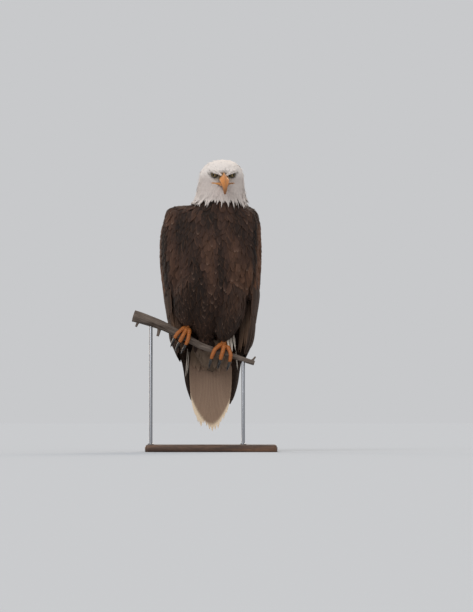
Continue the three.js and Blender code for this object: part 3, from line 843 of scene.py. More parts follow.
# %% Feather node group
FULL_TURN = 6.283
BARB_SLANT = 0.22  # how far along the vane a barb has run when it reaches the border
SHAFT_DARK = (0.02, 0.015, 0.012, 1.0)
feather_group, group_in, group_out = new_group(
    "feather vane",
    [("Edge Colour", "Color", (0.5, 0.4, 0.3, 1.0)), ("Edge Share", "Float", 0.5), ("Barbs", "Float", 60.0),
     ("Shaft Shade", "Float", 0.8)],
    [("Colour", "Color", None), ("Roughness", "Float", None), ("Height", "Float", None)],
)
tree, asked = feather_group, group_in.outputs
vane_map = new_node(tree, "UVMap", {}, uv_map="Vane").outputs["UV"]
split = new_node(tree, "SeparateXYZ", {"Vector": vane_map}).outputs
off_middle = math_node(tree, "ABSOLUTE", math_node(tree, "SUBTRACT", split["X"], 0.5))
from_shaft = math_node(tree, "MULTIPLY", off_middle, 2.0)
slant = math_node(tree, "MULTIPLY", from_shaft, BARB_SLANT)
barb = math_node(tree, "MULTIPLY", math_node(tree, "SUBTRACT", split["Y"], slant), asked["Barbs"])
barb_wave = math_node(tree, "SINE", math_node(tree, "MULTIPLY", barb, FULL_TURN))
grain = noise_node(tree, object_place(tree), 900.0, 2.0)
side_edge = ramp_node(tree, from_shaft, 0.62, 1.0)
tip_edge = ramp_node(tree, split["Y"], 0.84, 1.0, 0.0, 0.7)
edge = math_node(tree, "MULTIPLY", math_node(tree, "MAXIMUM", side_edge, tip_edge), asked["Edge Share"])
edge = math_node(tree, "MULTIPLY", edge, ramp_node(tree, grain, 0.3, 0.7, 0.5, 1.2), clamp=True)
plain = toned(tree, attribute_node(tree, "Coat"), grain, 0.25, 0.75, 0.82, 1.12)
worn = blend_node(tree, edge, plain, asked["Edge Colour"])
on_shaft = ramp_node(tree, from_shaft, 0.04, 0.1, 1.0, 0.0)
shaded = blend_node(tree, math_node(tree, "MULTIPLY", on_shaft, asked["Shaft Shade"]), worn, SHAFT_DARK)
rough = ramp_node(tree, grain, 0.2, 0.8, 0.62, 0.85)
height = math_node(tree, "ADD", math_node(tree, "MULTIPLY", barb_wave, 0.5), grain)
set_inputs(tree, group_out, {"Colour": shaded, "Roughness": rough, "Height": height})

# %% Feather finishes
WARM_SHEEN = paint(255, 222, 196)


def feather_finish(name, slot, edge_colour, edge_share, barbs, shaft_shade, sheen=0.05):
    """A material that uses the feather group, and its slot."""
    material, tree, shader = new_material(name, Specular_IOR_Level=0.2, Sheen_Weight=sheen,
                                          Sheen_Roughness=0.5, Sheen_Tint=WARM_SHEEN)
    values = {"Edge Colour": edge_colour, "Edge Share": edge_share, "Barbs": barbs,
              "Shaft Shade": shaft_shade}
    made = new_node(tree, "Group", values, node_tree=feather_group).outputs
    dress(tree, shader, made["Height"], 0.12 * MM, Base_Color=made["Colour"], Roughness=made["Roughness"])
    return material, slot


white_feather = feather_finish("white contour feather", "white_feathers", paint(240, 232, 224), 0.5, 40.0,
                               0.06)
brown_feather = feather_finish("brown contour feather", "brown_feathers", paint(104, 75, 57), 0.5, 40.0, 0.3)
flight_feather = feather_finish("dark flight feather", "dark_feathers", paint(100, 72, 54), 0.5, 150.0, 0.35,
                                sheen=0.04)
tail_feather = feather_finish("white tail feather", "white_feathers", paint(200, 178, 154), 0.12, 170.0, 0.1)
down_feather = feather_finish("undertail down", "white_feathers", paint(150, 130, 112), 0.15, 90.0, 0.04)
print("feather finishes made")

# %% [markdown]
# ## The skin's finish
# Little of the skin shows between the feathers, so it carries the same markings as they do, under a faint
# stipple of pores and down.

# %% Skin piece
skin_material, tree, shader = new_material("down and skin", Roughness=0.9, Specular_IOR_Level=0.2)
stipple = noise_node(tree, object_place(tree), 420.0, 4.0)
down = toned(tree, attribute_node(tree, "Coat"), stipple, 0.3, 0.7, 0.6, 1.0)
dress(tree, shader, stipple, 0.6 * MM, Base_Color=down)

skin_parts = parts_of(skin_points)
# the skin takes the markings at 0.8, with the same painted shade in the gap before the wing
add_colour(skin_mesh, "Coat", markings(skin_points, skin_parts) * 0.8 * gap_shade(skin_points)[:, None])
skin_corners = np.zeros(len(skin_mesh.loops), np.int32)
skin_mesh.loops.foreach_get("vertex_index", skin_corners)
add_uv(skin_mesh, "OFBake", unwrapped(skin_points, skin_parts)[skin_corners])
skin_mesh.shade_smooth()
finish_piece("skin", skin_mesh, (skin_material, "brown_feathers"), FLESH)

# %% [markdown]
# ## The coat
# The coat is laid in tracts, and each is a piece of its own. Sizes grow from the face to the body: under
# a centimetre by the bill, four on the breast and the back, and up to seven low on the wing. A
# lance-shaped feather suits the nape and its ragged fringe, and a broad round one suits everything else.

# %% Kinds of contour feather
ROUND = {"outline": (0.42, 2.1, 0.62), "stations": 10, "columns": 5, "thick": 0.35, "cup": 0.22,
         "ridge": 0.25, "ragged": 0.2, "swing": 7, "sink": 1.0, "ruffle": 0.35, "spread": 0.15,
         "root_shade": 0.74, "worn": 0.16, "bridge": 4.5, "roll": 5}
FACE = {**ROUND, "outline": (0.4, 2.0, 0.6), "stations": 7, "columns": 3, "thick": 0.15, "ridge": 0.05,
        "cup": 0.04, "swing": 5, "sink": 0.6, "ruffle": 0.25, "spread": 0.02, "root_shade": 0.98, "worn": 0}
LANCE = {**ROUND, "outline": (0.3, 1.3, 0.9), "stations": 12, "columns": 3, "ridge": 0.12, "cup": 0.08,
         "thick": 0.25, "swing": 8, "ruffle": 0.4, "spread": 0.03, "root_shade": 0.86, "worn": 0}
LOOSE = {**ROUND, "outline": (0.4, 1.6, 0.7), "stations": 13, "ragged": 0.3, "swing": 9, "spread": 0.08}
FRINGE = {**LANCE, "outline": (0.3, 1.15, 1.0), "bridge": 15, "root_shade": 0.95}


def chosen_roots(roots, chosen):
    return tuple(values[chosen] for values in roots)


def tract(parts, spacing, count, seed, where=None):
    """Thinned roots on some parts. spacing is in mm, a number or a function of the places; count is how many
    are strewn before the thinning."""
    roots = strewn(count, parts, seed)
    if where is not None:
        roots = chosen_roots(roots, where(roots[0]))
    places = roots[0]
    gaps = np.broadcast_to(spacing(places) if callable(spacing) else spacing, len(places)) * MM
    return chosen_roots(roots, thinned(places, gaps))


EYE_CLEARANCE = 12.2 * MM


def clear_of_face(points):
    """True where a feather would not cover an eye, nor run into the bill."""
    clear = np.ones(len(points), bool)
    for centre in EYES.values():
        clear &= np.linalg.norm(points - centre, axis=1) > EYE_CLEARANCE
    forward, lateral, up = head_measures(points)
    bill = (forward > 11) & (np.abs(lateral) < 13) & (up < 12.5) & (up > -28)
    return clear & ~bill


def face_size(places):
    """0 at the bill's root, 1 from 75 mm away on."""
    return np.clip(np.linalg.norm(places - BILL_ROOT, axis=1) / (75 * MM), 0, 1)


# %% Head feathers
def upper_head(places):
    return (places[:, 2] > 742 * MM) & clear_of_face(places)


head_roots = tract(WHITE_PARTS, lambda p: 1.9 + 1.6 * face_size(p), 150000, 21, upper_head)
reach = face_size(head_roots[0])
contour_feathers("head_feathers", head_roots, (6.5 + 12.5 * reach, 4.0 + 3.6 * reach, 0.7 + 0.7 * reach),
                 FACE, white_feather, seed=22, keep=clear_of_face)


# %% Loose pointed tips on the crown, nape and sides of the head
def behind_face(places):
    forward, lateral, _ = head_measures(places)
    return (places[:, 2] > 735 * MM) & (forward < 2 - 0.12 * np.abs(lateral)) & clear_of_face(places)


tip_roots = tract(WHITE_PARTS, 8.6, 16000, 43, behind_face)
tip_roots = chosen_roots(tip_roots, tip_roots[1][:, 1] > -0.24)  # not where the head faces forward
tip_lift = 3.2 + 4.5 * smooth_step(0.1, 0.6, drift(tip_roots[0], 0.017))  # tufts stand up in little groups
contour_feathers("head_feather_tips", tip_roots, (15.5, 7.5, tip_lift),
                 {**LANCE, "stations": 8, "thick": 0.5, "roll": 8}, white_feather, seed=44,
                 keep=clear_of_face)


# %% Neck hackles, long and pointed, which end in a loose fringe over the shoulders
def on_neck(places):
    return (places[:, 2] < 758 * MM) & (places[:, 2] > collar_height(places) + 2 * MM)


def over_collar(places):
    return (places[:, 2] > 693 * MM) & (from_middle(places) < 86)


def from_middle(places):
    """How far to either side of the neck's middle each place is, in mm."""
    return np.abs(places[:, 0] - COLLAR_X) / MM


def flare(places):
    """Extra lift at the sides of the neck's foot, where the white spreads over the shoulders."""
    return 3.5 * smooth_step(40, 66, from_middle(places)) * smooth_step(760, 735, places[:, 2] / MM)


def drop_to(roots, height, slope):
    """How long a hanging feather must be to reach down to a height (mm), if it falls by slope per length."""
    return (roots[0][:, 2] / MM - height) / slope


neck_roots = tract(WHITE_PARTS, 5.2, 26000, 23, on_neck)
hackle_length = np.clip(drop_to(neck_roots, 718, 0.95), 15, 27)
contour_feathers("neck_hackles", neck_roots, (hackle_length, 9.5, 2.6 + flare(neck_roots[0])), LANCE,
                 white_feather, seed=24, keep=over_collar)

# %% The fringe: single long points, with the dark coat between them
fringe_roots = tract(WHITE_PARTS, 7.8, 22000, 45,
                     lambda p: on_neck(p) & (p[:, 2] < collar_height(p) + 17 * MM))
fringe_sizes = (drop_to(fringe_roots, 706, 0.93), 7.0, 6.4 + flare(fringe_roots[0]))
contour_feathers("neck_fringe", fringe_roots, fringe_sizes, FRINGE, white_feather, 46, keep=over_collar)

# at both lower corners the points hang forwards and down over the front of the shoulders
corner_roots = tract(WHITE_PARTS, 5.6, 26000, 47, lambda p: on_neck(p) & (from_middle(p) > 50)
                     & (p[:, 2] < collar_height(p) + 26 * MM))
corner_roots = chosen_roots(corner_roots, corner_roots[1][:, 1] < 0.3)
corner_out = np.sign(corner_roots[0][:, 0] - COLLAR_X)
corner_ahead = np.clip(-1.2 - 2 * corner_roots[1][:, 1], -0.9, 0)
corner_lie = np.stack([0.35 * corner_out, corner_ahead, -np.ones(len(corner_out))], -1)
contour_feathers("neck_fringe_corners", corner_roots, (drop_to(corner_roots, 705, 0.80), 6.5, 8.0),
                 {**FRINGE, "bridge": 24}, white_feather, 48, corner_lie, over_collar)

# %% Body feathers, up to under the hackles
for end, seed in (("front", 25), ("back", 125)):
    breast_roots = tract(["trunk", "neck"], 9.3, 24000, seed, lambda p: (p[:, 2] < collar_height(p) - 2 * MM)
                         & ((p[:, 1] < 0) == (end == "front")))
    contour_feathers(f"body_feathers_{end}", breast_roots, (43, 18, 5), ROUND, brown_feather, seed + 1)

# %% Thigh feathers
for side, name in SIDES.items():
    thigh_roots = tract([f"thigh_{name}"], 8.4, 16000, 27 + side)
    contour_feathers(f"thigh_{name}_feathers", thigh_roots, (42, 14, 4.5), LOOSE, brown_feather, 30 + side)

# %% Wing coverts, down to where the long greater coverts take over
COVERT_ROOT_Z, COVERT_TIP_Z = 470 * MM, 436 * MM
for side, name in SIDES.items():
    covert_roots = tract([f"wing_{name}_coverts"], lambda p: 8.5 + 5 * smooth_step(640, 480, p[:, 2] / MM),
                         18000, 33 + side, lambda p: p[:, 2] > COVERT_ROOT_Z)
    low = smooth_step(660, 470, covert_roots[0][:, 2] / MM)
    contour_feathers(f"wing_{name}_covert_feathers", covert_roots,
                     (30 + 38 * low, 16 + 8 * low, 4.5 - 2.8 * low), {**ROUND, "ruffle": 0.1}, brown_feather,
                     36 + side, keep=lambda p: p[:, 2] > COVERT_TIP_Z)

# %% Undertail coverts
under_roots = tract(["undertail_coverts"], 9.0, 8000, 41)
contour_feathers("undertail_feathers", under_roots, (30, 17, 4), {**LOOSE, "worn": 0}, down_feather, seed=42,
                 keep=lambda p: p[:, 2] > 240 * MM)

# %% [markdown]
# ## Tubes
# Toes, claws, brow ridges and the branch are all rings carried along a path. Each ring needs two
# directions square to the path; both are worked out from one reference direction that the path never runs
# along, so the tube doesn't twist.


# %% Rings along a path
def tube_rings(path, radii, rings, columns, reference, squash=1.0):
    """Rings (ring, column, 3) round a smooth path, with their angle and share along.

    At angle a the point stands radius x (cos a across + squash sin a over) from the path. across is the
    reference made square to the path, and over is along x across.
    """
    t = np.linspace(0, 1, rings)
    centres = spline(path, t)
    along = unit(np.gradient(centres, axis=0))
    across = flattened(np.broadcast_to(np.asarray(reference, float), centres.shape), along)
    over = np.cross(along, across)
    radius = spline(np.asarray(radii, float)[:, None], t)
    a = round_angles(columns)
    spokes = np.cos(a)[None, :, None] * across[:, None] + squash * np.sin(a)[None, :, None] * over[:, None]
    return centres, spokes, radius, a, t


def closed_rings(rings):
    """Points, quads and triangles of rings closed with the middle of their first and last ring."""
    ends = np.stack([rings[0].mean(0), rings[-1].mean(0)])
    points = np.concatenate([rings.reshape(-1, 3), ends])
    return (points, *ring_grid(*rings.shape[:2]))


def with_ends(values):
    """A (ring, column, n) table of values as one per point, with those of the two end points."""
    flat = values.reshape(-1, values.shape[-1])
    return np.concatenate([flat, values[:1].mean(1), values[-1:].mean(1)])


def joined(shapes):
    """Several (points, quads, triangles) as one."""
    counts = np.cumsum([0] + [len(points) for points, _, _ in shapes[:-1]])
    return (np.concatenate([points for points, _, _ in shapes]),
            np.concatenate([quads + n for (_, quads, _), n in zip(shapes, counts)]),
            np.concatenate([triangles + n for (_, _, triangles), n in zip(shapes, counts)]))


# %% [markdown]
# ## The bill
# An eagle's bill is a deep hook of horn on a soft yellow base, the cere, where the nostrils open. Side
# profiles of each half give its lower and upper edge, and a slice runs between them at every station. The
# horn is dull wax yellow with growth lines, smooth enough to catch one soft highlight.

# %% Bill profiles: lower edge (forward, up), upper edge (forward, up), half width, in head measures
UPPER_BILL = [[14, -21, 13, 8.5, 10.4], [28, -17, 28, 12, 11.4], [40, -14.5, 41, 12.5, 12.6],
              [50, -13.5, 54, 9, 11.8], [57.5, -15.5, 65, 0.5, 9.2], [63, -22, 71.5, -11.5, 6.4],
              [67, -30.5, 73, -24.5, 4.8], [69.6, -40, 70.8, -39, 2.2]]
LOWER_BILL = [[12, -30, 14, -21.6, 12.5], [28, -28.5, 28, -17.6, 11.5], [41, -25, 40, -15.1, 9.5],
              [51, -20.5, 50, -14.1, 6], [56, -17.5, 55, -15.6, 2]]
CERE_END = 33.0  # how far forward the cere reaches
NOSTRIL_FORWARD, NOSTRIL_UP = 29.0, 1.5
CERE = paint(208, 152, 84)
HORN = paint(200, 130, 66)
HORN_TIP = paint(132, 84, 44)
NOSTRIL = paint(40, 26, 18)


def bill_half(profile, rings, columns, keel):
    """Slices between a lower and an upper edge. At angle a a point stands cos a of the way from the middle to
    the upper edge, and half width x sin a (1 - .5 cos a) to the side; keel narrows the top into a ridge."""
    t = np.linspace(0, 1, rings) ** 0.92
    low_forward, low_up, top_forward, top_up, half = spline(profile, t).T[:, :, None]
    a = round_angles(columns)[None, :]
    forward = (low_forward + top_forward) / 2 + (top_forward - low_forward) / 2 * np.cos(a)
    up = (low_up + top_up) / 2 + (top_up - low_up) / 2 * np.cos(a)
    ridge = 1 - keel * smooth_step(-0.3, 0.95, np.cos(a))
    lateral = half * np.sin(a) * (1 - 0.5 * np.cos(a)) * ridge
    return forward, lateral, up, np.broadcast_to(t[:, None], forward.shape)


def nostril_share(forward, up, length, height):
    """A bell over the nostril, of a length and a height in mm."""
    return bell((forward - NOSTRIL_FORWARD) / length, (up - NOSTRIL_UP) / height)


def bill_colour(forward, lateral, up, t):
    """The bill's colour: cere, then horn that darkens to the tip, with paler ridge and dark nostril."""
    cere = smooth_step(CERE_END + 1.2, CERE_END - 1.2, forward - 0.18 * up)[..., None]
    tip = smooth_step(0.55, 1.0, t)[..., None]
    colour = between(between(HORN, HORN_TIP, tip), CERE, cere)
    culmen = bell(lateral / 2.4) * smooth_step(26, 44, forward) * (up > -6)
    colour = colour * (1 - 0.25 * culmen[..., None])
    return between(colour, NOSTRIL, 0.95 * nostril_share(forward, up, 1.7, 2.6)[..., None])


def bill_upper():
    forward, lateral, up, t = bill_half(UPPER_BILL, 120, 72, 0.5)
    swell = 0.45 * smooth_step(CERE_END + 1.0, CERE_END - 1.0, forward - 0.18 * up)
    hole = nostril_share(forward, up, 1.9, 2.8)
    tooth = 0.7 * np.sin(np.pi * np.clip((forward - 36) / 15, 0, 1)) * smooth_step(-0.6, -1.0, (up + 5) / 12)
    width = 1 + (swell - 2.2 * hole) / 13
    return in_head(forward, lateral * width, up - tooth), bill_colour(forward, lateral, up, t)


def bill_lower():
    forward, lateral, up, t = bill_half(LOWER_BILL, 60, 48, 0.0)
    colour = HORN * (1 - 0.3 * smooth_step(0.6, 1, t)[..., None]) * 0.86
    return in_head(forward, lateral, up), np.broadcast_to(colour, (*forward.shape, 3))


GAPE_PATH = [[32, 8, -19.5], [23, 14.5, -22], [14, 20, -25], [6, 25, -27], [0, 28.5, -28.5]]
GAPE_RADII = np.array([2.8, 3.1, 2.8, 2.2, 1.1])
GAPE = paint(196, 132, 66)


def gape(side):
    """The fleshy corner of the mouth, a tapered fold from the lower half back below the eye."""
    forward, lateral, up = np.array(GAPE_PATH, float).T
    path = in_head(forward, side * lateral, up)
    cheek, outward = draped(path)
    held = np.array([0, 0.2, 0.8, 1, 1])[:, None]
    path = between(path, cheek + outward * 0.7 * MM, held)
    centres, spokes, radius, a, t = tube_rings(path, GAPE_RADII * MM, 40, 18, HEAD_AXES[:, 2], 0.45)
    fold = 1 - 0.45 * np.exp(-((np.sin(a) - 1) ** 2) / 0.02)[None, :, None]
    rings = centres[:, None] + spokes * radius[:, None] * fold
    mouth_line = 0.6 * np.exp(-((np.sin(a) - 1) ** 2) / 0.1)[None, :, None] * np.ones((len(t), 1, 1))
    return rings, GAPE * (1 - mouth_line)


def tinted_piece(name, parts, finish, replaces=(), attribute="Tint"):
    """One piece from several (rings, colours) tables."""
    points, quads, triangles = joined([closed_rings(rings) for rings, _ in parts])
    mesh, _ = new_mesh(name, points, quads, triangles)
    add_colour(mesh, attribute, np.concatenate([with_ends(colours) for _, colours in parts]))
    finish_piece(name, mesh, finish, replaces)


# %% Horn finish and the two halves
def tinted_finish(name, slot, grain_scale, grain_stretch, bump, deep=0.82, **values):
    """A material whose colour is the Tint attribute under a stretched noise, which also roughens it."""
    material, tree, shader = new_material(name, **values)
    grain = noise_node(tree, stretched(tree, object_place(tree), grain_stretch), grain_scale, 4.0)
    colour = toned(tree, attribute_node(tree, "Tint"), grain, 0.3, 0.7, deep, 1.08)
    rough = values["Roughness"]
    rough = ramp_node(tree, grain, 0.3, 0.7, rough * 0.8, rough * 1.25)
    dress(tree, shader, grain, bump, Base_Color=colour, Roughness=rough)
    return material, slot


horn = tinted_finish("bill horn", "bill_horn", 150.0, (1, 0.5, 1), 0.05 * MM, 0.92, Roughness=0.36,
                     Specular_IOR_Level=0.45, Coat_Weight=0.15, Coat_Roughness=0.3)
tinted_piece("bill_upper_horn", [bill_upper()], horn, ["bill_upper"])
tinted_piece("bill_lower_horn", [bill_lower(), gape(RIGHT), gape(LEFT)], horn, ["bill_lower"])

# %% [markdown]
# ## The eyes
# An adult's iris is pale straw yellow round a black pupil, with a darker rim. The eye is a globe with a
# slight dome, the cornea, turned outwards from straight ahead. A Gaze map runs round the eye and out from
# the pupil, so the iris is drawn by its own angle and stays in place from every side.

# %% Eyes
GAZE_OUT = np.radians(30)  # how far each eye looks to its own side
EYE_ANGLES = {"pupil": 23.0, "iris": 41.0}  # degrees from the pupil's middle


def gaze_axes(side):
    """Columns: right and up across the pupil, and out of it."""
    out = unit(HEAD_AXES @ np.array([side * np.sin(GAZE_OUT), -np.cos(GAZE_OUT), 0.06]))
    up = flattened(HEAD_AXES[:, 2][None], out[None])[0]
    return np.stack([np.cross(up, out), up, out], -1)


def around_eye(side, radius, polar, turn):
    """Points at a distance from the eye's middle, an angle away from its gaze and a turn about it."""
    local = np.stack(np.broadcast_arrays(np.sin(polar) * np.sin(turn), np.sin(polar) * np.cos(turn),
                                         np.cos(polar)), -1)
    return EYES[side] + (radius[..., None] * MM) * (local @ gaze_axes(side).T)


def eye_ball(side, rings=48, columns=64):
    polar = np.linspace(0.02, np.pi - 0.02, rings)[:, None]
    turn = round_angles(columns)[None, :]
    dome = 0.7 * smooth_step(np.radians(44), np.radians(10), polar)
    points = around_eye(side, EYE_RADIUS + dome + 0 * turn, polar, turn)
    gaze = np.stack(np.broadcast_arrays(polar / np.pi, 0 * turn, 0 * polar), -1)
    return points, gaze


eye_material, tree, shader = new_material("eye", Roughness=0.12, Specular_IOR_Level=0.15, Coat_Weight=0.3,
                                          Coat_Roughness=0.02)
polar_share = new_node(tree, "SeparateXYZ", {"Vector": attribute_node(tree, "Gaze", "Vector")}).outputs["X"]
pupil_edge, iris_edge = EYE_ANGLES["pupil"] / 180, EYE_ANGLES["iris"] / 180
fibre = noise_node(tree, object_place(tree), 700.0, 3.0)
iris = blend_node(tree, ramp_node(tree, fibre, 0.35, 0.65), paint(166, 138, 82), paint(206, 180, 120))
inner_iris = ramp_node(tree, polar_share, pupil_edge, pupil_edge * 1.5, 0.55, 0.0)
iris = blend_node(tree, inner_iris, iris, paint(92, 70, 36))
rim = ramp_node(tree, polar_share, iris_edge * 0.84, iris_edge)
pupil = ramp_node(tree, polar_share, pupil_edge * 0.94, pupil_edge * 1.06, 1.0, 0.0)
rimmed = blend_node(tree, rim, iris, paint(34, 28, 22))
set_inputs(tree, shader, {"Base Color": blend_node(tree, pupil, rimmed, paint(8, 7, 7))})
for side, name in SIDES.items():
    tinted_piece(f"eye_{name}_globe", [eye_ball(side)], (eye_material, "eye"), [f"eye_{name}"], "Gaze")

# %% [markdown]
# ## Lids and brow
# What gives an eagle its stare is bone: a ridge over each eye that shades it from above. Under it the
# upper lid lies almost straight, and the lower one is round. Each pair of lids is one closed ring, a
# rolled edge that swells over the globe and sinks into the face.

# %% Lids
LID_ANGLE = 37.0  # half opening of the lids, in degrees about the gaze
# the lids' section: degrees past the opening, and distance from the eye's middle
LID_SECTION = [[0, 9.9], [0.5, 10.5], [3, 11.0], [8, 11.2], [16, 11.0], [28, 10.6], [42, 9.6], [50, 8.2],
               [40, 7.6], [20, 8.8], [6, 9.3]]
LID_COLOUR = paint(92, 84, 66)
LID_RIM = paint(58, 50, 38)


def lids(side, columns=72):
    """The section is carried once round the gaze: its opening is LID_ANGLE, less 34% at the top and 12% at
    the bottom, and a little more at the corner by the bill."""
    section = np.array(LID_SECTION)
    steps = np.linspace(0, 1, 4 * len(section), endpoint=False)
    looped = np.concatenate([section[-1:], section, section[:2]])
    dense = spline(looped, (1 + steps * len(section)) / (len(looped) - 1))
    turn = round_angles(columns)
    top, bottom = np.clip(np.cos(turn), 0, 1) ** 1.3, np.clip(-np.cos(turn), 0, 1)
    to_bill = 1.5 * np.pi if side == LEFT else 0.5 * np.pi
    corner = np.exp(-((turn - to_bill) ** 2) / 0.06)
    opening = LID_ANGLE * (1 - 0.34 * top - 0.12 * bottom + 0.16 * corner)
    polar = np.radians(opening[:, None] + dense[None, :, 0])
    points = around_eye(side, dense[None, :, 1] + 0 * polar, polar, turn[:, None])
    rim = smooth_step(9, 1, np.abs(dense[:, 0]))[None, :, None]
    colours = np.broadcast_to(between(LID_COLOUR, LID_RIM, rim), points.shape)
    return points, colours


def loop_grid(rings, columns):
    """Quads of a grid that closes on itself both ways, as a ring doughnut does."""
    i, j = np.arange(rings)[:, None], np.arange(columns)[None, :]
    i2, j2 = (i + 1) % rings, (j + 1) % columns
    corners = [i * columns + j, i * columns + j2, i2 * columns + j2, i2 * columns + j]
    return np.stack(corners, -1).reshape(-1, 4)


bare_skin = tinted_finish("bare facial skin", "bill_horn", 500.0, (1, 1, 1), 0.25 * MM, Roughness=0.55,
                          Specular_IOR_Level=0.3)
for side, name in SIDES.items():
    ring_points, ring_colours = lids(side)
    mesh, _ = new_mesh(f"lids_{name}", ring_points.reshape(-1, 3), loop_grid(*ring_points.shape[:2]),
                       np.zeros((0, 3), int))
    add_colour(mesh, "Tint", ring_colours.reshape(-1, 3))
    finish_piece(f"lids_{name}", mesh, bare_skin)

# %% Brow ridges: a flattened tube, forward, lateral and up, and its radii
BROW_PATH = [[27, 6, 3.4], [21, 12, 5.6], [14, 20.5, 7.4], [5, 30.5, 7.4], [-10, 39, 4.8]]
BROW_RADII = np.array([1.6, 3.0, 4.0, 3.8, 1.2])
BROW_TOP = paint(216, 208, 198)
BROW_EDGE = paint(120, 110, 88)


def brow_feathers(name, rings, spokes, seed, count=120, stations=8):
    """Short feathers that run out along the ridge. Each shaft follows the ridge's own grid: from its start at
    ring i and column j it passes 7 rings more, and rises from the surface as t to .9 mm."""
    random = np.random.default_rng(seed)
    t = np.linspace(0, 1, stations)
    first = random.integers(0, len(rings) - 9, count)
    column = random.integers(-7, 8, count) % rings.shape[1]
    ring = first[:, None] + np.round(t * 8).astype(int)[None, :]
    outs = spokes[ring, column[:, None]]
    centres = rings[ring, column[:, None]] + outs * (t * 0.9 * MM)[None, :, None]
    halves = np.broadcast_to(1.7 * MM * outline_of(t, 0.4, 2.0, 0.6)[None, :, None], (count, stations, 2))
    points, coordinates = vane_shells(centres, outs, halves, 3, 0.2 * MM, 0.06, 0.05 * MM)
    # painted shade: each brow feather is greyer at its root, under its neighbours, than at its tip
    colours = between(CHEEK, WHITE, coordinates[:, 1:]) * (1 + 0.03 * random.normal(size=(count, 1, 1)))
    piece = f"brow_{name}_feathers"
    baked = tuft_patches(centres[:, 0], np.zeros(count, int), coordinates)
    mesh = vane_mesh(piece, points, coordinates, 3, baked, np.clip(colours, 0, 1))
    finish_piece(piece, mesh, white_feather)


for side, name in SIDES.items():
    forward, lateral, up = np.array(BROW_PATH, float).T
    centres, spokes, radius, a, t = tube_rings(in_head(forward, side * lateral, up), BROW_RADII * MM, 48, 24,
                                               HEAD_AXES[:, 2], 1.0)
    # the ridge's underside is olive grey: partly its bare skin's own colour, partly painted shade under the
    # ridge
    lower = smooth_step(0.2, -0.8, np.cos(a))[None, :, None]
    brow_rings = centres[:, None] + spokes * radius[:, None] * (1 - 0.3 * lower)
    brow_tint = np.broadcast_to(between(BROW_TOP, BROW_EDGE, lower), brow_rings.shape)
    tinted_piece(f"brow_{name}", [(brow_rings, brow_tint)], bare_skin)
    brow_feathers(name, brow_rings, spokes, 70 + side)

# %% [markdown]
# ## Flight feathers
# A folded wing is a stack of long stiff feathers. The secondaries hang over the flank like the slats of a
# blind, each inner one lying on the next outer one; the primaries slide in under them and show as dark
# points beside the tail. All follow one closed surface, the folded wing's own, measured as level slices
# with a middle, a front and a back. Each feather is led down that surface from its root to its tip.

# %% The folded wing's surface: height, half width, front, middle, back, squareness of front and back
WING_SURFACE = [[232, 84, 30, 76, 120, 2, 2], [262, 101, 5, 62, 127, 2, 2], [292, 115, -15, 54, 128, 2, 2.1],
                [322, 126, -35, 48, 128, 2, 2.2], [360, 132, -60, 40, 127, 2, 2.2],
                [410, 138, -85, 32, 127, 2.1, 2.2], [480, 145, -104, 20, 129, 2.2, 2.2],
                [545, 148, -112, 8, 127, 2.2, 2.2]]
PRIMARY_SURFACE = [[130, 61, 60, 98, 131, 2, 2], [165, 71, 45, 90, 131, 2, 2], [200, 78, 30, 82, 126, 2, 2],
                   [235, 82, 15, 72, 117, 2, 2], [265, 89, 0, 62, 115, 2, 2], [300, 105, -15, 54, 116, 2, 2],
                   [345, 119, -35, 46, 116, 2, 2.1], [398, 124, -60, 38, 115, 2, 2.1]]


def on_wing(table, side, angle, height, grow):
    """A place on a folded wing, in metres: angle 0 is the front and 180 the back, grow stands it off (mm)."""
    dense = spline(table, np.linspace(0, 1, 400))
    half, front, middle, back, front_shape, back_shape = (
        np.interp(height, dense[:, 0], dense[:, k]) for k in range(1, 7))
    s, c = np.sin(np.radians(angle)), -np.cos(np.radians(angle))
    shape = np.where(c < 0, front_shape, back_shape)
    reach = np.where(c < 0, middle - front, back - middle) + grow
    x = side * (half + grow) * signed_power(s, 2 / shape)
    return np.stack([x, middle + reach * signed_power(c, 2 / shape), height], -1) * MM


def wing_paths(table, side, roots, tips, grow, stations, settle=0.0):
    """Shafts from roots to tips, each a list of (angle, height), and the way out of the wing along them. A
    feather starts sunk under the coverts, comes up to its own layer a third of the way down, and settles by
    some mm towards its tip."""
    t = eased_steps(stations)[None, :]
    roots, tips = np.asarray(roots, float), np.asarray(tips, float)
    angle = roots[:, :1] + (tips - roots)[:, :1] * t**1.2
    height = roots[:, 1:] + (tips - roots)[:, 1:] * t
    grow, settle = (np.broadcast_to(np.asarray(v, float), len(roots))[:, None] for v in (grow, settle))
    layer = grow - 5 * smooth_step(0.35, 0.0, t) - settle * smooth_step(0.4, 1.0, t)
    centres = on_wing(table, side, angle, height, layer)
    before, behind = (on_wing(table, side, angle + step, height, layer) for step in (-1, 1))
    under, over = (on_wing(table, side, angle, height + step, layer) for step in (-2, 2))
    return centres, unit(np.cross(under - over, behind - before)) * side, t[0]


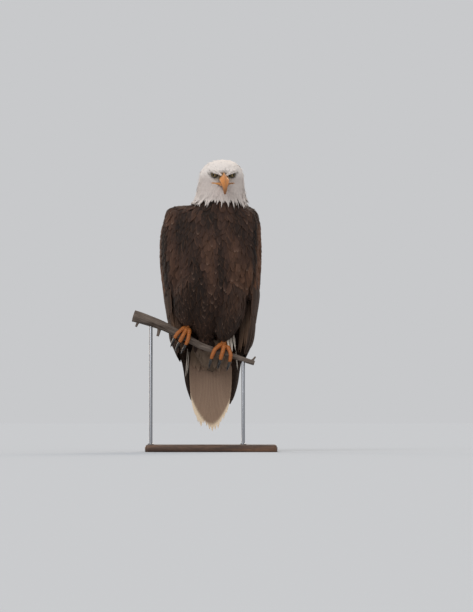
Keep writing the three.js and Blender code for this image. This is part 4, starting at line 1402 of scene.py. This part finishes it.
# %% Building a row of big feathers
def big_feathers(name, centres, outs, t, widths, front_share, outline, look, finish, replaces, seed, side,
                 most=np.inf, rim=None):
    """Long feathers on given shafts. widths is in mm; front_share is the part of it on the feather's leading
    side, and most (metres) caps the half widths. Splits are narrow notches at random stations of the border.
    The colour runs from root to tip between the two shares of the length that fade names, and rim, a function
    of places and a colour, is laid over it."""
    random = np.random.default_rng(seed)
    count, stations = centres.shape[:2]
    widths = np.broadcast_to(widths, count) * MM * random.uniform(0.96, 1.04, count)
    shares = np.array([front_share, 1 - front_share])
    shares = shares[::-1] if side == LEFT else shares
    ragged = 1 + look["ragged"] * random.uniform(-1, 0.3, (count, stations, 2))
    torn = random.random((count, stations, 2)) < look["splits"]
    split = np.where(torn, random.uniform(0.6, 0.85, (count, stations, 2)), 1)
    halves = widths[:, None, None] * outline_of(t, *outline)[None, :, None] * shares * ragged * split
    halves = np.minimum(halves, most)
    points, coordinates = vane_shells(centres, outs, halves, look["columns"], look["thick"] * MM, look["cup"],
                                      look["ridge"] * MM)
    tone = between(look["root"], look["tip"], smooth_step(*look["fade"], coordinates[:, 1])[:, None])
    tones = tone[None] * (1 + look["spread"] * random.normal(size=(count, 1, 1)))
    if rim is not None:
        share, colour = rim
        tones = between(tones, colour, share(points)[..., None])
    strips = (np.arange(count)[:, None, None] + 0.08 + 0.84 * coordinates[None, :, :1]) / count
    along = np.broadcast_to(0.02 + 0.96 * coordinates[None, :, 1:], strips.shape)
    baked = np.concatenate([strips, along], -1)
    mesh = vane_mesh(name, points, coordinates, look["columns"], baked, np.clip(tones, 0.004, 1))
    finish_piece(name, mesh, finish, replaces)


FLIGHT_LOOK = {"columns": 9, "thick": 0.6, "cup": 0.10, "ridge": 0.7, "ragged": 0.03, "splits": 0.03,
               "spread": 0.16, "root": paint(61, 44, 34), "tip": paint(45, 33, 26), "fade": (0.2, 1.0)}
COVERT_LOOK = {**FLIGHT_LOOK, "columns": 7, "thick": 0.5, "cup": 0.14, "ragged": 0.06, "splits": 0.0,
               "root": paint(54, 40, 32), "tip": paint(62, 46, 37)}
SECONDARIES, PRIMARIES, GREATER_COVERTS = 12, 6, 11

for side, name in SIDES.items():
    # secondaries, outermost and foremost first
    share = np.linspace(0, 1, SECONDARIES)
    roots = np.stack([68 + 108 * share, 446 - 6 * share], -1)
    loose = np.random.default_rng(48 + side).uniform(-5, 5, SECONDARIES)
    tips = np.stack([72 + 104 * share, np.interp(share, [0, 0.3, 1], [284, 263, 268]) + loose], -1)
    centres, outs, t = wing_paths(WING_SURFACE, side, roots, tips, -8.5 + 6.5 * share + 0.4 * side, 30)
    big_feathers(f"wing_{name}_secondary_vanes", centres, outs, t, 46, 0.36, (0.55, 4.0, 0.5), FLIGHT_LOOK,
                 flight_feather, [f"wing_{name}_secondaries"], 50 + side, side)

    # primaries, outermost first, whose points stand lower and lower towards the tail
    share = np.linspace(0, 1, PRIMARIES)
    roots = np.stack([84 + 36 * share, np.full(PRIMARIES, 392.0)], -1)
    tips = np.stack([np.interp(share, [0, 0.5, 1], [95, 101, 122]),
                     np.interp(share, [0, 0.25, 0.5, 0.75, 1], [243, 206, 176, 151, 137])], -1)
    centres, outs, t = wing_paths(PRIMARY_SURFACE, side, roots, tips, -3.5 + 3.2 * share, 30)
    big_feathers(f"wing_{name}_primary_vanes", centres, outs, t, 36, 0.38, (0.4, 2.6, 0.62), FLIGHT_LOOK,
                 flight_feather, [f"wing_{name}_primaries"], 54 + side, side)

    # greater coverts over the secondaries' roots
    share = np.linspace(0, 1, GREATER_COVERTS)
    roots = np.stack([62 + 114 * share, 492 - 8 * share], -1)
    loose = np.random.default_rng(58 + side).uniform(-9, 9, GREATER_COVERTS)
    tips = np.stack([70 + 108 * share, np.interp(share, [0, 0.3, 1], [390, 374, 380]) + loose], -1)
    centres, outs, t = wing_paths(WING_SURFACE, side, roots, tips, -3.4 + 3.4 * share + 0.4 * side, 22,
                                  3.0 - 2 * share)
    big_feathers(f"wing_{name}_greater_coverts", centres, outs, t, 40, 0.42, (0.5, 3.4, 0.5), COVERT_LOOK,
                 brown_feather, [], 58 + side, side)

# %% [markdown]
# ## The tail
# Twelve white tail feathers fan a little, so the tail ends in a wedge. The middle pair lies on top, at
# the back, and each outer one lies in front of it. Seen from the front, it is the underside that shows.

# %% Tail feathers, in mm
TAIL = {"pairs": 6, "root_y": 72, "root_z": 325, "tip_y": 120, "tip_z": 55, "root_half": 42, "tip_half": 45.5,
        "shorter": 58, "layer": 0.3}
TAIL_SLOPE = (TAIL["tip_y"] - TAIL["root_y"]) / (TAIL["root_z"] - TAIL["tip_z"])
# painted shade: the white tail feathers are coloured buff brown, paler towards the end, as the tail's
# underside shows in shade
TAIL_LOOK = {"columns": 11, "thick": 0.16, "cup": 0.004, "ridge": 0.1, "ragged": 0.03, "splits": 0.03,
             "spread": 0.03, "root": paint(130, 106, 90), "tip": paint(159, 134, 114), "fade": (0.2, 0.9)}
# painted light: the tail's end, as bright as when the sun shines through it from behind
TAIL_END_BACKLIGHT = paint(255, 234, 204)
TAIL_UNEVEN = [-8, -2, -15, -4, -16, -1, 5, -8, 8, -2, 8, 2]  # mm longer, right and left from the middle out


def tail_shafts(stations):
    """Straight shafts from root to tip with a slight bow to the back. Side by side they alternate right and
    left, and a share of the fan of power 2.2 gives how much shorter the outer ones are."""
    pair, side = np.meshgrid(np.arange(TAIL["pairs"]), [RIGHT, LEFT], indexing="ij")
    pair, side = pair.ravel(), side.ravel()
    share = side * (pair + 0.5) / (TAIL["pairs"] - 0.5)
    drop = TAIL["shorter"] * np.abs(share) ** 2.2
    layer = TAIL["layer"] * (2 * pair + (side == LEFT))
    t = eased_steps(stations)[None, :, None]
    fall = TAIL["root_z"] - TAIL["tip_z"] - drop + np.array(TAIL_UNEVEN)
    root_y = TAIL["root_y"] - layer
    root = np.stack([share * TAIL["root_half"], root_y, np.full(len(share), TAIL["root_z"])], -1)
    tip = np.stack([share * TAIL["tip_half"], root_y + TAIL_SLOPE * fall, TAIL["root_z"] - fall], -1)
    bow = np.array([0, 1.5, 0]) * np.sin(np.pi * t)
    centres = (between(root[:, None], tip[:, None], t) + bow) * MM
    facing = unit(np.array([0, 1, TAIL_SLOPE]))
    tilt = share[:, None, None] * np.array([0.06, 0, 0])
    return centres, unit(np.broadcast_to(facing + tilt, centres.shape)), t[0, :, 0], side


# no vane reaches past the middle of the tail, so one clean seam runs down it
centres, outs, t, tail_side = tail_shafts(44)
inner_room = np.abs(centres[..., 0]) + 2.5 * MM
tail_caps = np.where(tail_side[:, None, None] == [[[RIGHT, LEFT]]], inner_room[..., None], np.inf)
centres = centres - np.array([2.5, 0, 0]) * MM  # the tail hangs a little to the bird's right


def backlit_tail_end(points):
    """Painted backlight: 1 along the tail's own end, coloured as lit through from behind, fading over 14 mm.
    The end's height rises with the power 1.8 of x.
    """
    end = TAIL["tip_z"] + 68 * np.clip(np.abs(points[..., 0] / MM + 2) / 53, 0, 1.2) ** 1.8
    return 0.97 * smooth_step(30, 16, points[..., 2] / MM - end)


big_feathers("tail_vanes", centres, outs, t, 38, 0.5, (0.3, 3.0, 0.95), TAIL_LOOK, tail_feather,
             ["tail"], 62, LEFT, tail_caps, (backlit_tail_end, TAIL_END_BACKLIGHT))

# %% [markdown]
# ## Undertail coverts
# Long, soft feathers hide the quills of the tail from below. They hang in three rows from under the rump,
# each row longer than the one over it, and spread to the folded wing tips on both sides. A few loose
# white plumes fall over the dark wing.

# %% Rows of soft feathers, in mm: root and tip height, root and tip spread, root y, room to the tail, count
UNDERTAIL_ROWS = [[296, 236, 50, 52, 60, 2, 15], [304, 256, 44, 49, 54, 3.5, 12],
                  [314, 270, 38, 45, 44, 5, 11]]
# painted shade: the white undertail coverts are coloured buff brown, darkest at the root
DOWN_LOOK = {"columns": 7, "thick": 0.22, "cup": 0.02, "ridge": 0.08, "ragged": 0.14, "splits": 0.03,
             "spread": 0.03, "root": paint(94, 78, 62), "tip": paint(144, 121, 103), "fade": (0.3, 0.95)}
PLUME_LOOK = {**DOWN_LOOK, "columns": 5, "ragged": 0.4, "root": paint(176, 164, 150),
              "tip": paint(214, 203, 190)}


def hanging(roots, tips, bulge, stations=18):
    """Shafts on a parabola from roots to tips, whose middle stands bulge (a vector in mm) off the chord."""
    t = eased_steps(stations)
    share = t[None, :, None]
    roots, tips = np.asarray(roots, float)[:, None], np.asarray(tips, float)[:, None]
    return (between(roots, tips, share) + 4 * share * (1 - share) * np.asarray(bulge, float)) * MM, t


random = np.random.default_rng(63)
shafts, faces = [], []
for root_z, tip_z, root_half, tip_half, root_y, room, count in UNDERTAIL_ROWS:
    share = np.linspace(-1, 1, int(count)) + random.uniform(-0.06, 0.06, int(count))
    root = np.stack([share * root_half - 6, root_y - 14 * np.sqrt(np.clip(1 - 0.9 * share**2, 0, 1)),
                     root_z + 0 * share], -1)
    height = tip_z + 10 * share**2 + random.uniform(-9, 9, int(count))
    tip_y = TAIL["root_y"] - 4 - room + TAIL_SLOPE * (TAIL["root_z"] - height)
    tip = np.stack([share * tip_half, tip_y, height], -1)
    row, t = hanging(root, tip, [0, -2, 0])
    shafts.append(row)
    facing = unit(np.stack([0.45 * share, 0 * share - 1, 0 * share], -1))
    faces.append(np.broadcast_to(facing[:, None], row.shape))
shafts, faces = np.concatenate(shafts), np.concatenate(faces)
big_feathers("undertail_plumes", shafts, faces, t, 22, 0.5, (0.45, 1.7, 0.8), DOWN_LOOK, down_feather,
             [], 64, LEFT)

PLUME_ROOTS = [[46, 4, 352], [55, 10, 348], [62, 18, 352], [51, 12, 336], [-70, 60, 300], [-66, 58, 292],
               [70, 62, 300]]
PLUME_TIPS = [[50, -10, 292], [60, 0, 288], [69, 14, 296], [54, 2, 276], [-76, 66, 216], [-71, 62, 226],
              [76, 66, 238]]
shafts, t = hanging(PLUME_ROOTS, PLUME_TIPS, [0, -4, 0])
faces = np.broadcast_to(unit(np.array([0.15, -1.0, 0.1])), shafts.shape)
PLUME_WIDTHS = [7.5, 7.5, 7.5, 7.5, 3.2, 2.4, 5]
big_feathers("loose_plumes", shafts, faces, t, PLUME_WIDTHS, 0.5, (0.5, 1.6, 0.8), PLUME_LOOK, white_feather,
             [], 65, LEFT)

# %% Flank feathers, which fill the hollow between each leg and the wing
FLANK_LOOK = {**FLIGHT_LOOK, "columns": 5, "thick": 0.35, "ragged": 0.2, "splits": 0.08, "spread": 0.34,
              "root": paint(54, 41, 33), "tip": paint(92, 71, 55), "cup": 0.25, "ridge": 0.4}
for side, name in SIDES.items():
    share, random = np.linspace(0, 1, 15), np.random.default_rng(67 + side)
    roots = np.stack([side * (90 + 26 * share), -14 + 9 * random.random(15), 462 + 0 * share], -1)
    tips = np.stack([side * (79 + 30 * share + random.uniform(-2, 2, 15)),
                     14 - 14 * share - 6 * random.random(15),
                     300 + 44 * share**2 + random.uniform(-20, 14, 15)], -1)
    shafts, t = hanging(roots, tips, [side * 3, -3, 0])
    faces = np.broadcast_to(unit(np.array([-0.25 * side, -1.0, 0.05])), shafts.shape)
    big_feathers(f"flank_{name}_plumes", shafts, faces, t, 8, 0.5, (0.5, 1.8, 0.8), FLANK_LOOK, brown_feather,
                 [], 68 + side, LEFT)

# %% [markdown]
# ## The perch
# A weathered branch has no bark left: grey-brown wood with long cracks that follow the grain, knots, and
# broken stubs of twigs. It is a tube along the branch's path, dented by a few waves, with its cut ends on
# view.

# %% The branch's path and its own frame at any x
PERCH_PATH = [[-226, 4, 393], [-182, 1, 380], [-132, -1, 360], [-80, 0, 333.5], [-22, 1, 303.5], [36, 0, 285],
              [80, -1, 271], [124, -3, 256]]  # mm
PERCH_RADII = [18, 16, 13.4, 11.6, 9.8, 9, 8.3, 7.4]
STUBS = [[-204, -8, 24, 4.5, -1], [-150, 7, 28, 5.5, -1], [112, 10, 16, 3.2, 1]]


def perch_at(x):
    """Centre, radius, way along and way up of the branch at x, in mm."""
    dense = spline(np.column_stack([PERCH_PATH, PERCH_RADII]), np.linspace(0, 1, 600))
    centre = np.array([np.interp(x, dense[:, 0], dense[:, k]) for k in range(3)])
    ahead = np.array([np.interp(x + 1, dense[:, 0], dense[:, k]) for k in range(3)])
    along = unit((ahead - centre) * [1, 0, 1])
    return centre, np.interp(x, dense[:, 0], dense[:, 3]), along, np.array([-along[2], 0, along[0]])


WOOD = paint(106, 94, 85)
WOOD_DARK = paint(56, 46, 40)
WOOD_CUT = paint(140, 116, 92)
WOOD_BLOTCH = paint(116, 104, 96)


def branch_rings(path, radii, rings, columns, seed, depth):
    """A tube whose surface rolls by three sines of angle and length, dips into a few cracks, and swells in
    knots; the last 3% at each end is the cut face."""
    random = np.random.default_rng(seed)
    centres, spokes, radius, a, t = tube_rings(np.array(path, float) * MM, np.array(radii, float) * MM, rings,
                                               columns, [0, 1, 0])
    a, t = a[None, :], t[:, None]
    waves = zip([2, 3, 5], [1.3, 3.1, 5.3], random.uniform(0, 6, 3))
    rolls = [0.5 * np.sin(n * a + m * t * 6 + p) for n, m, p in waves]
    wave = 0.55 * sum(rolls)
    for _ in range(7):
        angle, place = random.uniform(0, 2 * np.pi), random.uniform(0.05, 0.9)
        apart = np.angle(np.exp(1j * (a - angle - 1.2 * t)))
        wave = wave - 1.5 * bell(apart / 0.10, (t - place) / random.uniform(0.05, 0.16))
    for _ in range(5):
        angle, place = random.uniform(0, 2 * np.pi), random.uniform(0.1, 0.9)
        apart = np.angle(np.exp(1j * (a - angle)))
        wave = wave + 1.5 * bell(apart / 0.5, (t - place) / 0.018)
    grown = radius + (wave - 0.6) * depth * MM
    rings_out = centres[:, None] + spokes * grown[..., None]
    dip = smooth_step(0.4, -1.4, wave)[..., None]
    colours = between(WOOD, WOOD_DARK, dip)
    # the cut faces: smaller and smaller rings at each end, in the wood's inner colour
    starts, ends = [], []
    for shrink in [0.9, 0.6, 0.3, 0.06]:
        starts.insert(0, centres[0] + (rings_out[0] - centres[0]) * shrink)
        ends.append(centres[-1] + (rings_out[-1] - centres[-1]) * shrink)
    rings_all = np.concatenate([np.array(starts), rings_out, np.array(ends)])
    face = np.broadcast_to(WOOD_CUT, (4, columns, 3)) * np.array([0.9, 1.0, 0.85, 0.7])[:, None, None]
    return rings_all, np.concatenate([face[::-1], colours, face])


branches = [branch_rings(PERCH_PATH, PERCH_RADII, 260, 72, 71, 1.0)]
for number, (x, lean, length, radius, way) in enumerate(STUBS):
    centre, _, along, up = perch_at(x)
    end = centre + up * way * (length + radius) + along * lean
    middle = (centre + end) / 2 + along * lean * 0.15
    branches.append(branch_rings([centre, middle, end], [radius * 1.5, radius, radius * 0.7], 30, 28,
                                 72 + number, 0.4))

bark, tree, shader = new_material("weathered wood", Roughness=0.85, Specular_IOR_Level=0.2)
grain_way = {"Vector": object_place(tree), "Rotation": (0, np.radians(-21), 0)}  # the branch slopes down
slant = new_node(tree, "Mapping", grain_way).outputs["Vector"]
fibres = noise_node(tree, stretched(tree, slant, (0.06, 1, 1)), 420.0, 5.0, 0.6)
blotch = noise_node(tree, object_place(tree), 26.0, 3.0)
colour = toned(tree, attribute_node(tree, "Tint"), fibres, 0.3, 0.72, 0.55, 1.25)
colour = blend_node(tree, ramp_node(tree, blotch, 0.42, 0.7, 0.0, 0.6), colour, WOOD_BLOTCH)
rough = ramp_node(tree, fibres, 0.3, 0.7, 0.75, 0.95)
dress(tree, shader, fibres, 0.6 * MM, Base_Color=colour, Roughness=rough)
tinted_piece("perch_wood", branches, (bark, "bark"), ["perch"])

# %% [markdown]
# ## The feet
# A raptor's toe is a chain of pads under a row of hard plates, the scutes. Each toe is a tube along its
# own curve: swollen in pads on the side that grips, stepped in scutes on the other. The claw grows out of
# its end, round in section and sharply hooked. Three toes wrap the front of the branch and the hind toe
# meets them from behind.

# %% Feet: name, reach along the branch, length share, thickness share of the front toes
FEET_X = {RIGHT: -82.0, LEFT: 30.0}
TOES = {RIGHT: [["outer", -19, 0.8, 0.94], ["middle", -1, 0.95, 1.04], ["inner", 18, 0.9, 1.0]],
        LEFT: [["inner", -24, 1.25, 1.0], ["middle", 2, 1.0, 1.04], ["outer", 29, 0.9, 0.94]]}
TOE_RADII = [7.2, 6.6, 5.6, 5.8, 4.6]
TALON_RADII = [4.2, 3.9, 2.6, 0.5]
TOE_SKIN = paint(158, 86, 34)
TOE_PALE = paint(178, 104, 45)
TOE_DARK = paint(104, 56, 24)
CLAW = paint(30, 27, 26)
CLAW_BASE = paint(66, 58, 52)


def toe_paths(side):
    """Name, toe path, talon path and thickness of each toe of a foot, in mm. A point is so far ahead of the
    branch's middle, up from it, and along it by a share of the toe's reach."""
    centre, r, along, up = perch_at(FEET_X[side])

    def at(rows, reach):
        ahead, high, aside = np.array(rows, float).T[:, :, None]
        return centre + ahead * np.array([0, -1, 0]) + high * up + aside * reach * along

    paths = []
    for name, reach, share, thick in TOES[side]:
        drop = 11 * share
        toe = at([[-3, r + 11, 0.1], [8, r + 9.5, 0.45], [r + 8, 4, 0.85], [r + 8, 4 - drop, 0.97],
                  [r + 5.5, 1 - 2 * drop, 1]], reach)
        talon = at([[r + 5.1, -2 * drop, 1], [r + 2, -10 - 2 * drop, 1], [r - 4, -21 - 2 * drop, 0.98],
                    [r - 12, -28 - 2 * drop, 0.94]], reach)
        paths.append((name, toe, talon, thick))
    toe = at([[3, r + 10.5, 0], [-8, r + 9.5, 0], [-r - 8, 5, 0], [-r - 8, -5, 0], [-r - 6, -12.5, 0]], 0)
    talon = at([[-r - 5.8, -13.6, 0], [-r - 5, -25, 0], [-r - 1, -37, 0], [-r + 6, -46, 0]], 0)
    paths.append(("hind", toe, talon, 1.08))
    return paths


def toe_rings(side, path, thick, seed):
    """The surface turned to the branch bulges in pads as |sin|; the other is stepped in scutes by a sawtooth
    that rises over each plate and drops at its edge."""
    random = np.random.default_rng(seed)
    centre, _, along, _ = perch_at(FEET_X[side])
    centres, spokes, radius, a, t = tube_rings(np.asarray(path) * MM, np.array(TOE_RADII) * thick * MM, 96,
                                               40, along)
    away = (spokes * unit(centres - centre * MM)[:, None]).sum(-1)
    turns = t[:, None] * 15 + 0.35 * np.sin(a)[None, :] + random.uniform(0, 1)
    saw = turns % 1.0
    plate = smooth_step(0.0, 0.25, saw) * (0.6 + 0.4 * saw)
    upper = smooth_step(-0.1, 0.5, away)
    pads = np.abs(np.sin(np.pi * (t[:, None] * 3.2 + 0.2))) ** 0.8
    lower = smooth_step(0.1, -0.6, away)
    knuckle = 0.05 * np.cos(2 * np.pi * (t[:, None] * 3.2 + 0.2))
    growth = 1 + knuckle + upper * (0.16 * plate - 0.10) + lower * (0.16 * pads - 0.12)
    rings = centres[:, None] + spokes * (radius * growth)[..., None]
    groove = (upper * (1 - plate))[..., None]
    colours = between(between(TOE_SKIN, TOE_PALE, upper[..., None]), TOE_DARK, 0.9 * groove)
    nail = smooth_step(0.93, 1.0, t)[:, None, None]
    return rings, between(colours, TOE_DARK, 0.4 * nail)


def tarsus_rings(side):
    """The bare end of the leg: from between the toes straight up into the thigh's feathers."""
    centre, r, _, up = perch_at(FEET_X[side])
    bottom = centre + up * (r + 9)
    top = np.array([bottom[0], bottom[1] + 2, {RIGHT: 384.0, LEFT: 340.0}[side]])
    path = np.array([bottom, (bottom * 2 + top) / 3, (bottom + top * 2) / 3, top]) * MM
    centres, spokes, radius, a, t = tube_rings(path, np.array([8.8, 8.2, 8.0, 8.4]) * MM, 40, 40, [1, 0, 0])
    saw = (t[:, None] * 5 + 0.04 * np.cos(a * 2)[None, :]) % 1.0
    front = smooth_step(-0.2, 0.5, -spokes[..., 1])
    plate = smooth_step(0, 0.2, saw)
    rings = centres[:, None] + spokes * (radius * (1 + front * (0.05 * plate - 0.03)))[..., None]
    groove = (front * (1 - plate))[..., None] * 0.7
    return rings, between(TOE_PALE, TOE_DARK, groove) * np.ones(rings.shape)


def talon_rings(path, thick):
    centres, spokes, radius, a, t = tube_rings(np.asarray(path) * MM, np.array(TALON_RADII) * thick * MM, 48,
                                               28, [1, 0, 0.2], 1.15)
    rings = centres[:, None] + spokes * radius[:, None]
    base = smooth_step(0.22, 0.0, t)[:, None, None]
    return rings, between(CLAW, CLAW_BASE, base) * np.ones(rings.shape)


foot_skin = tinted_finish("foot skin", "foot_skin", 420.0, (1, 1, 1), 0.35 * MM, Roughness=0.5,
                          Specular_IOR_Level=0.4)
claw_horn = tinted_finish("talon horn", "talon_horn", 300.0, (1, 1, 0.3), 0.08 * MM, Roughness=0.28,
                          Specular_IOR_Level=0.5, Coat_Weight=0.3, Coat_Roughness=0.25)
for side, which in SIDES.items():
    paths = toe_paths(side)
    toes = [toe_rings(side, toe, thick, 80 + n) for n, (_, toe, _, thick) in enumerate(paths)]
    tinted_piece(f"foot_{which}_skin", [tarsus_rings(side), *toes], foot_skin, [f"foot_{which}"])
    for name, _, talon, thick in paths:
        tinted_piece(f"talon_{which}_{name}_horn", [talon_rings(talon, thick)], claw_horn,
                     [f"talon_{which}_{name}"])

# %% [markdown]
# ## The display stand
# The perch is only a cut length, so two steel rods hold it over a wooden base. The base has rounded edges
# and a shallow moulding; each rod has a collar where it meets the wood.

# %% Base and rods
BASE = {"width": 380, "depth": 250, "corner": 6}  # mm
ROD_X = (-176.0, 92.0)


def base_slab():
    """A rounded rectangle carried up a profile of (height, inset), in mm."""
    profile = [[0.0, 122.0], [0.0, 60.0], [0.0, 2.2], [0.6, 0.8], [2.0, 0.2], [13.0, 0.0], [13.8, 0.5],
               [14.4, 1.4], [16.4, 1.6], [18.6, 2.6], [19.7, 4.0], [20.0, 6.0], [20.0, 60.0], [20.0, 122.0]]
    half_width, half_depth = BASE["width"] / 2, BASE["depth"] / 2
    a = round_angles(96)
    corner_x, corner_y = np.sign(np.cos(a)), np.sign(np.sin(a))
    rings = []
    for height, inset in profile:
        corner = max(BASE["corner"] + 4 - inset, 0.4)
        x = corner_x * np.maximum(half_width - inset - corner, 0.2) + corner * np.cos(a)
        y = corner_y * np.maximum(half_depth - inset - corner, 0.2) + corner * np.sin(a)
        rings.append(np.stack([x, y, np.full_like(x, height)], -1))
    return np.array(rings) * MM


wood, tree, shader = new_material("walnut base", Roughness=0.42, Specular_IOR_Level=0.35, Coat_Weight=0.25,
                                  Coat_Roughness=0.3)
long_way = stretched(tree, object_place(tree), (0.12, 1, 1))
year_rings = noise_node(tree, long_way, 60.0, 5.0, 0.55)
pores = noise_node(tree, long_way, 700.0, 2.0)
colour = blend_node(tree, ramp_node(tree, year_rings, 0.32, 0.7), paint(62, 42, 30), paint(104, 74, 52))
colour = toned(tree, colour, pores, 0.3, 0.6, 0.7, 1.05)
rough = ramp_node(tree, year_rings, 0.3, 0.7, 0.36, 0.5)
dress(tree, shader, pores, 0.05 * MM, Base_Color=colour, Roughness=rough)
mesh, _ = new_mesh("stand_base_wood", *closed_rings(base_slab()))
finish_piece("stand_base_wood", mesh, (wood, "base_wood"), ["stand_base"])

steel, tree, shader = new_material("brushed steel", Metallic=0.9, Roughness=0.34,
                                   Base_Color=paint(150, 152, 156))
strokes = noise_node(tree, stretched(tree, object_place(tree), (1, 1, 0.02)), 2500.0, 2.0)
dress(tree, shader, strokes, 0.02 * MM, Roughness=ramp_node(tree, strokes, 0.3, 0.7, 0.26, 0.44))
for which, x in zip(SIDES.values(), ROD_X):
    centre, radius, _, _ = perch_at(x)
    top = centre[2] - radius + 2.5
    profile = np.array([[0.2, 20.2], [9.0, 20.2], [9.6, 20.8], [9.6, 22.2], [8.6, 23.0], [6.2, 23.4],
                        [5.4, 24.2], [5.0, 25.6], [5.0, top - 1.0], [4.6, top - 0.3], [0.2, top]])
    a, out, height = round_angles(48), profile[:, :1], profile[:, 1:]
    rings = np.stack([x + out * np.cos(a), centre[1] + out * np.sin(a), height + 0 * a], -1) * MM
    mesh, _ = new_mesh(f"stand_rod_{which}_steel", *closed_rings(rings))
    finish_piece(f"stand_rod_{which}_steel", mesh, (steel, "rod_steel"), [f"stand_rod_{which}"])

# %% [markdown]
# ## Light, floor and background
# Soft even light shows form and colour without hard shadows: a pale sky all round, one broad sun high at
# the front and two behind for the rim of light on the crown and the shoulders. A sun is as strong on the
# far floor as on the near one, so the floor keeps one tone out to its edge, and that tone is the
# background's. The floor is a wide disc. The background is the sky itself, as the camera and mirror-like
# surfaces see it, so no wall stands in the way of another view.

# %% Floor
BACKGROUND = paint(200, 201, 203)
FLOOR_TINT = np.array([0.965, 1.0, 1.035])  # answers the lamps' warmth
FLOOR_LIGHT = 1.15  # how much light the open floor gets, so its colour is the background over this
FLOOR_RADIUS, FLOOR_CORNERS = 45.0, 64
FLOOR_Z = -0.0005  # just under the base


def disc(radius, corners, z):
    """A flat disc: corners at radius (sin a, cos a), fanned from the middle."""
    a = round_angles(corners)
    ring = np.stack([radius * np.sin(a), radius * np.cos(a), np.full(corners, z)], -1)
    k = np.arange(corners)
    fan = np.stack([(k + 1) % corners, k, np.full(corners, corners)], -1)
    return np.concatenate([ring, [[0, 0, z]]]), np.zeros((0, 4), int), fan


floor_mesh, _ = new_mesh("floor", *disc(FLOOR_RADIUS, FLOOR_CORNERS, FLOOR_Z))
floor_material, _, _ = new_material("floor", Roughness=1.0, Specular_IOR_Level=0.0,
                                    Base_Color=BACKGROUND / FLOOR_LIGHT * FLOOR_TINT)
floor_mesh.materials.append(floor_material)
new_object("floor", floor_mesh)

# %% World
SKY_LEVEL = 0.72
world = bpy.data.worlds.new("studio")
bpy.context.scene.world = world
world.use_nodes = True
tree = world.node_tree
sky = tree.nodes["Background"]
set_inputs(tree, sky, {"Color": (1.0, 1.0, 1.0, 1.0), "Strength": SKY_LEVEL})
seen = new_node(tree, "Background", {"Color": BACKGROUND, "Strength": 1.0})
ray = new_node(tree, "LightPath", {}).outputs
direct = math_node(tree, "MAXIMUM", ray["Is Camera Ray"], ray["Is Glossy Ray"])
direct = math_node(tree, "MAXIMUM", direct, ray["Is Transmission Ray"])
either = new_node(tree, "MixShader", {"Fac": direct, 1: sky.outputs[0], 2: seen.outputs[0]})
set_inputs(tree, tree.nodes["World Output"], {"Surface": either.outputs[0]})


# %% Lamps: where each shines from, its strength, and how wide it looks
BREAST = Vector((0, 0, 0.5))


def lamp(name, place, strength, spread, colour):
    """A broad sun that shines from a place towards the bird's breast."""
    data = bpy.data.lights.new(name, "SUN")
    data.energy, data.angle = strength, np.radians(spread)
    data.color = [float(c) for c in colour]
    aim(new_object(name, data), place, BREAST)


lamp("key", (-1.9, -3.4, 3.6), 1.15, 34, paint(252, 251, 252))
lamp("rim", (1.2, 3.0, 2.9), 1.2, 28, paint(255, 240, 222))
lamp("rim_low", (-2.2, 2.6, 1.4), 0.6, 28, paint(255, 232, 208))
print("pieces:", len(MADE), "triangles:", sum(MADE.values()))
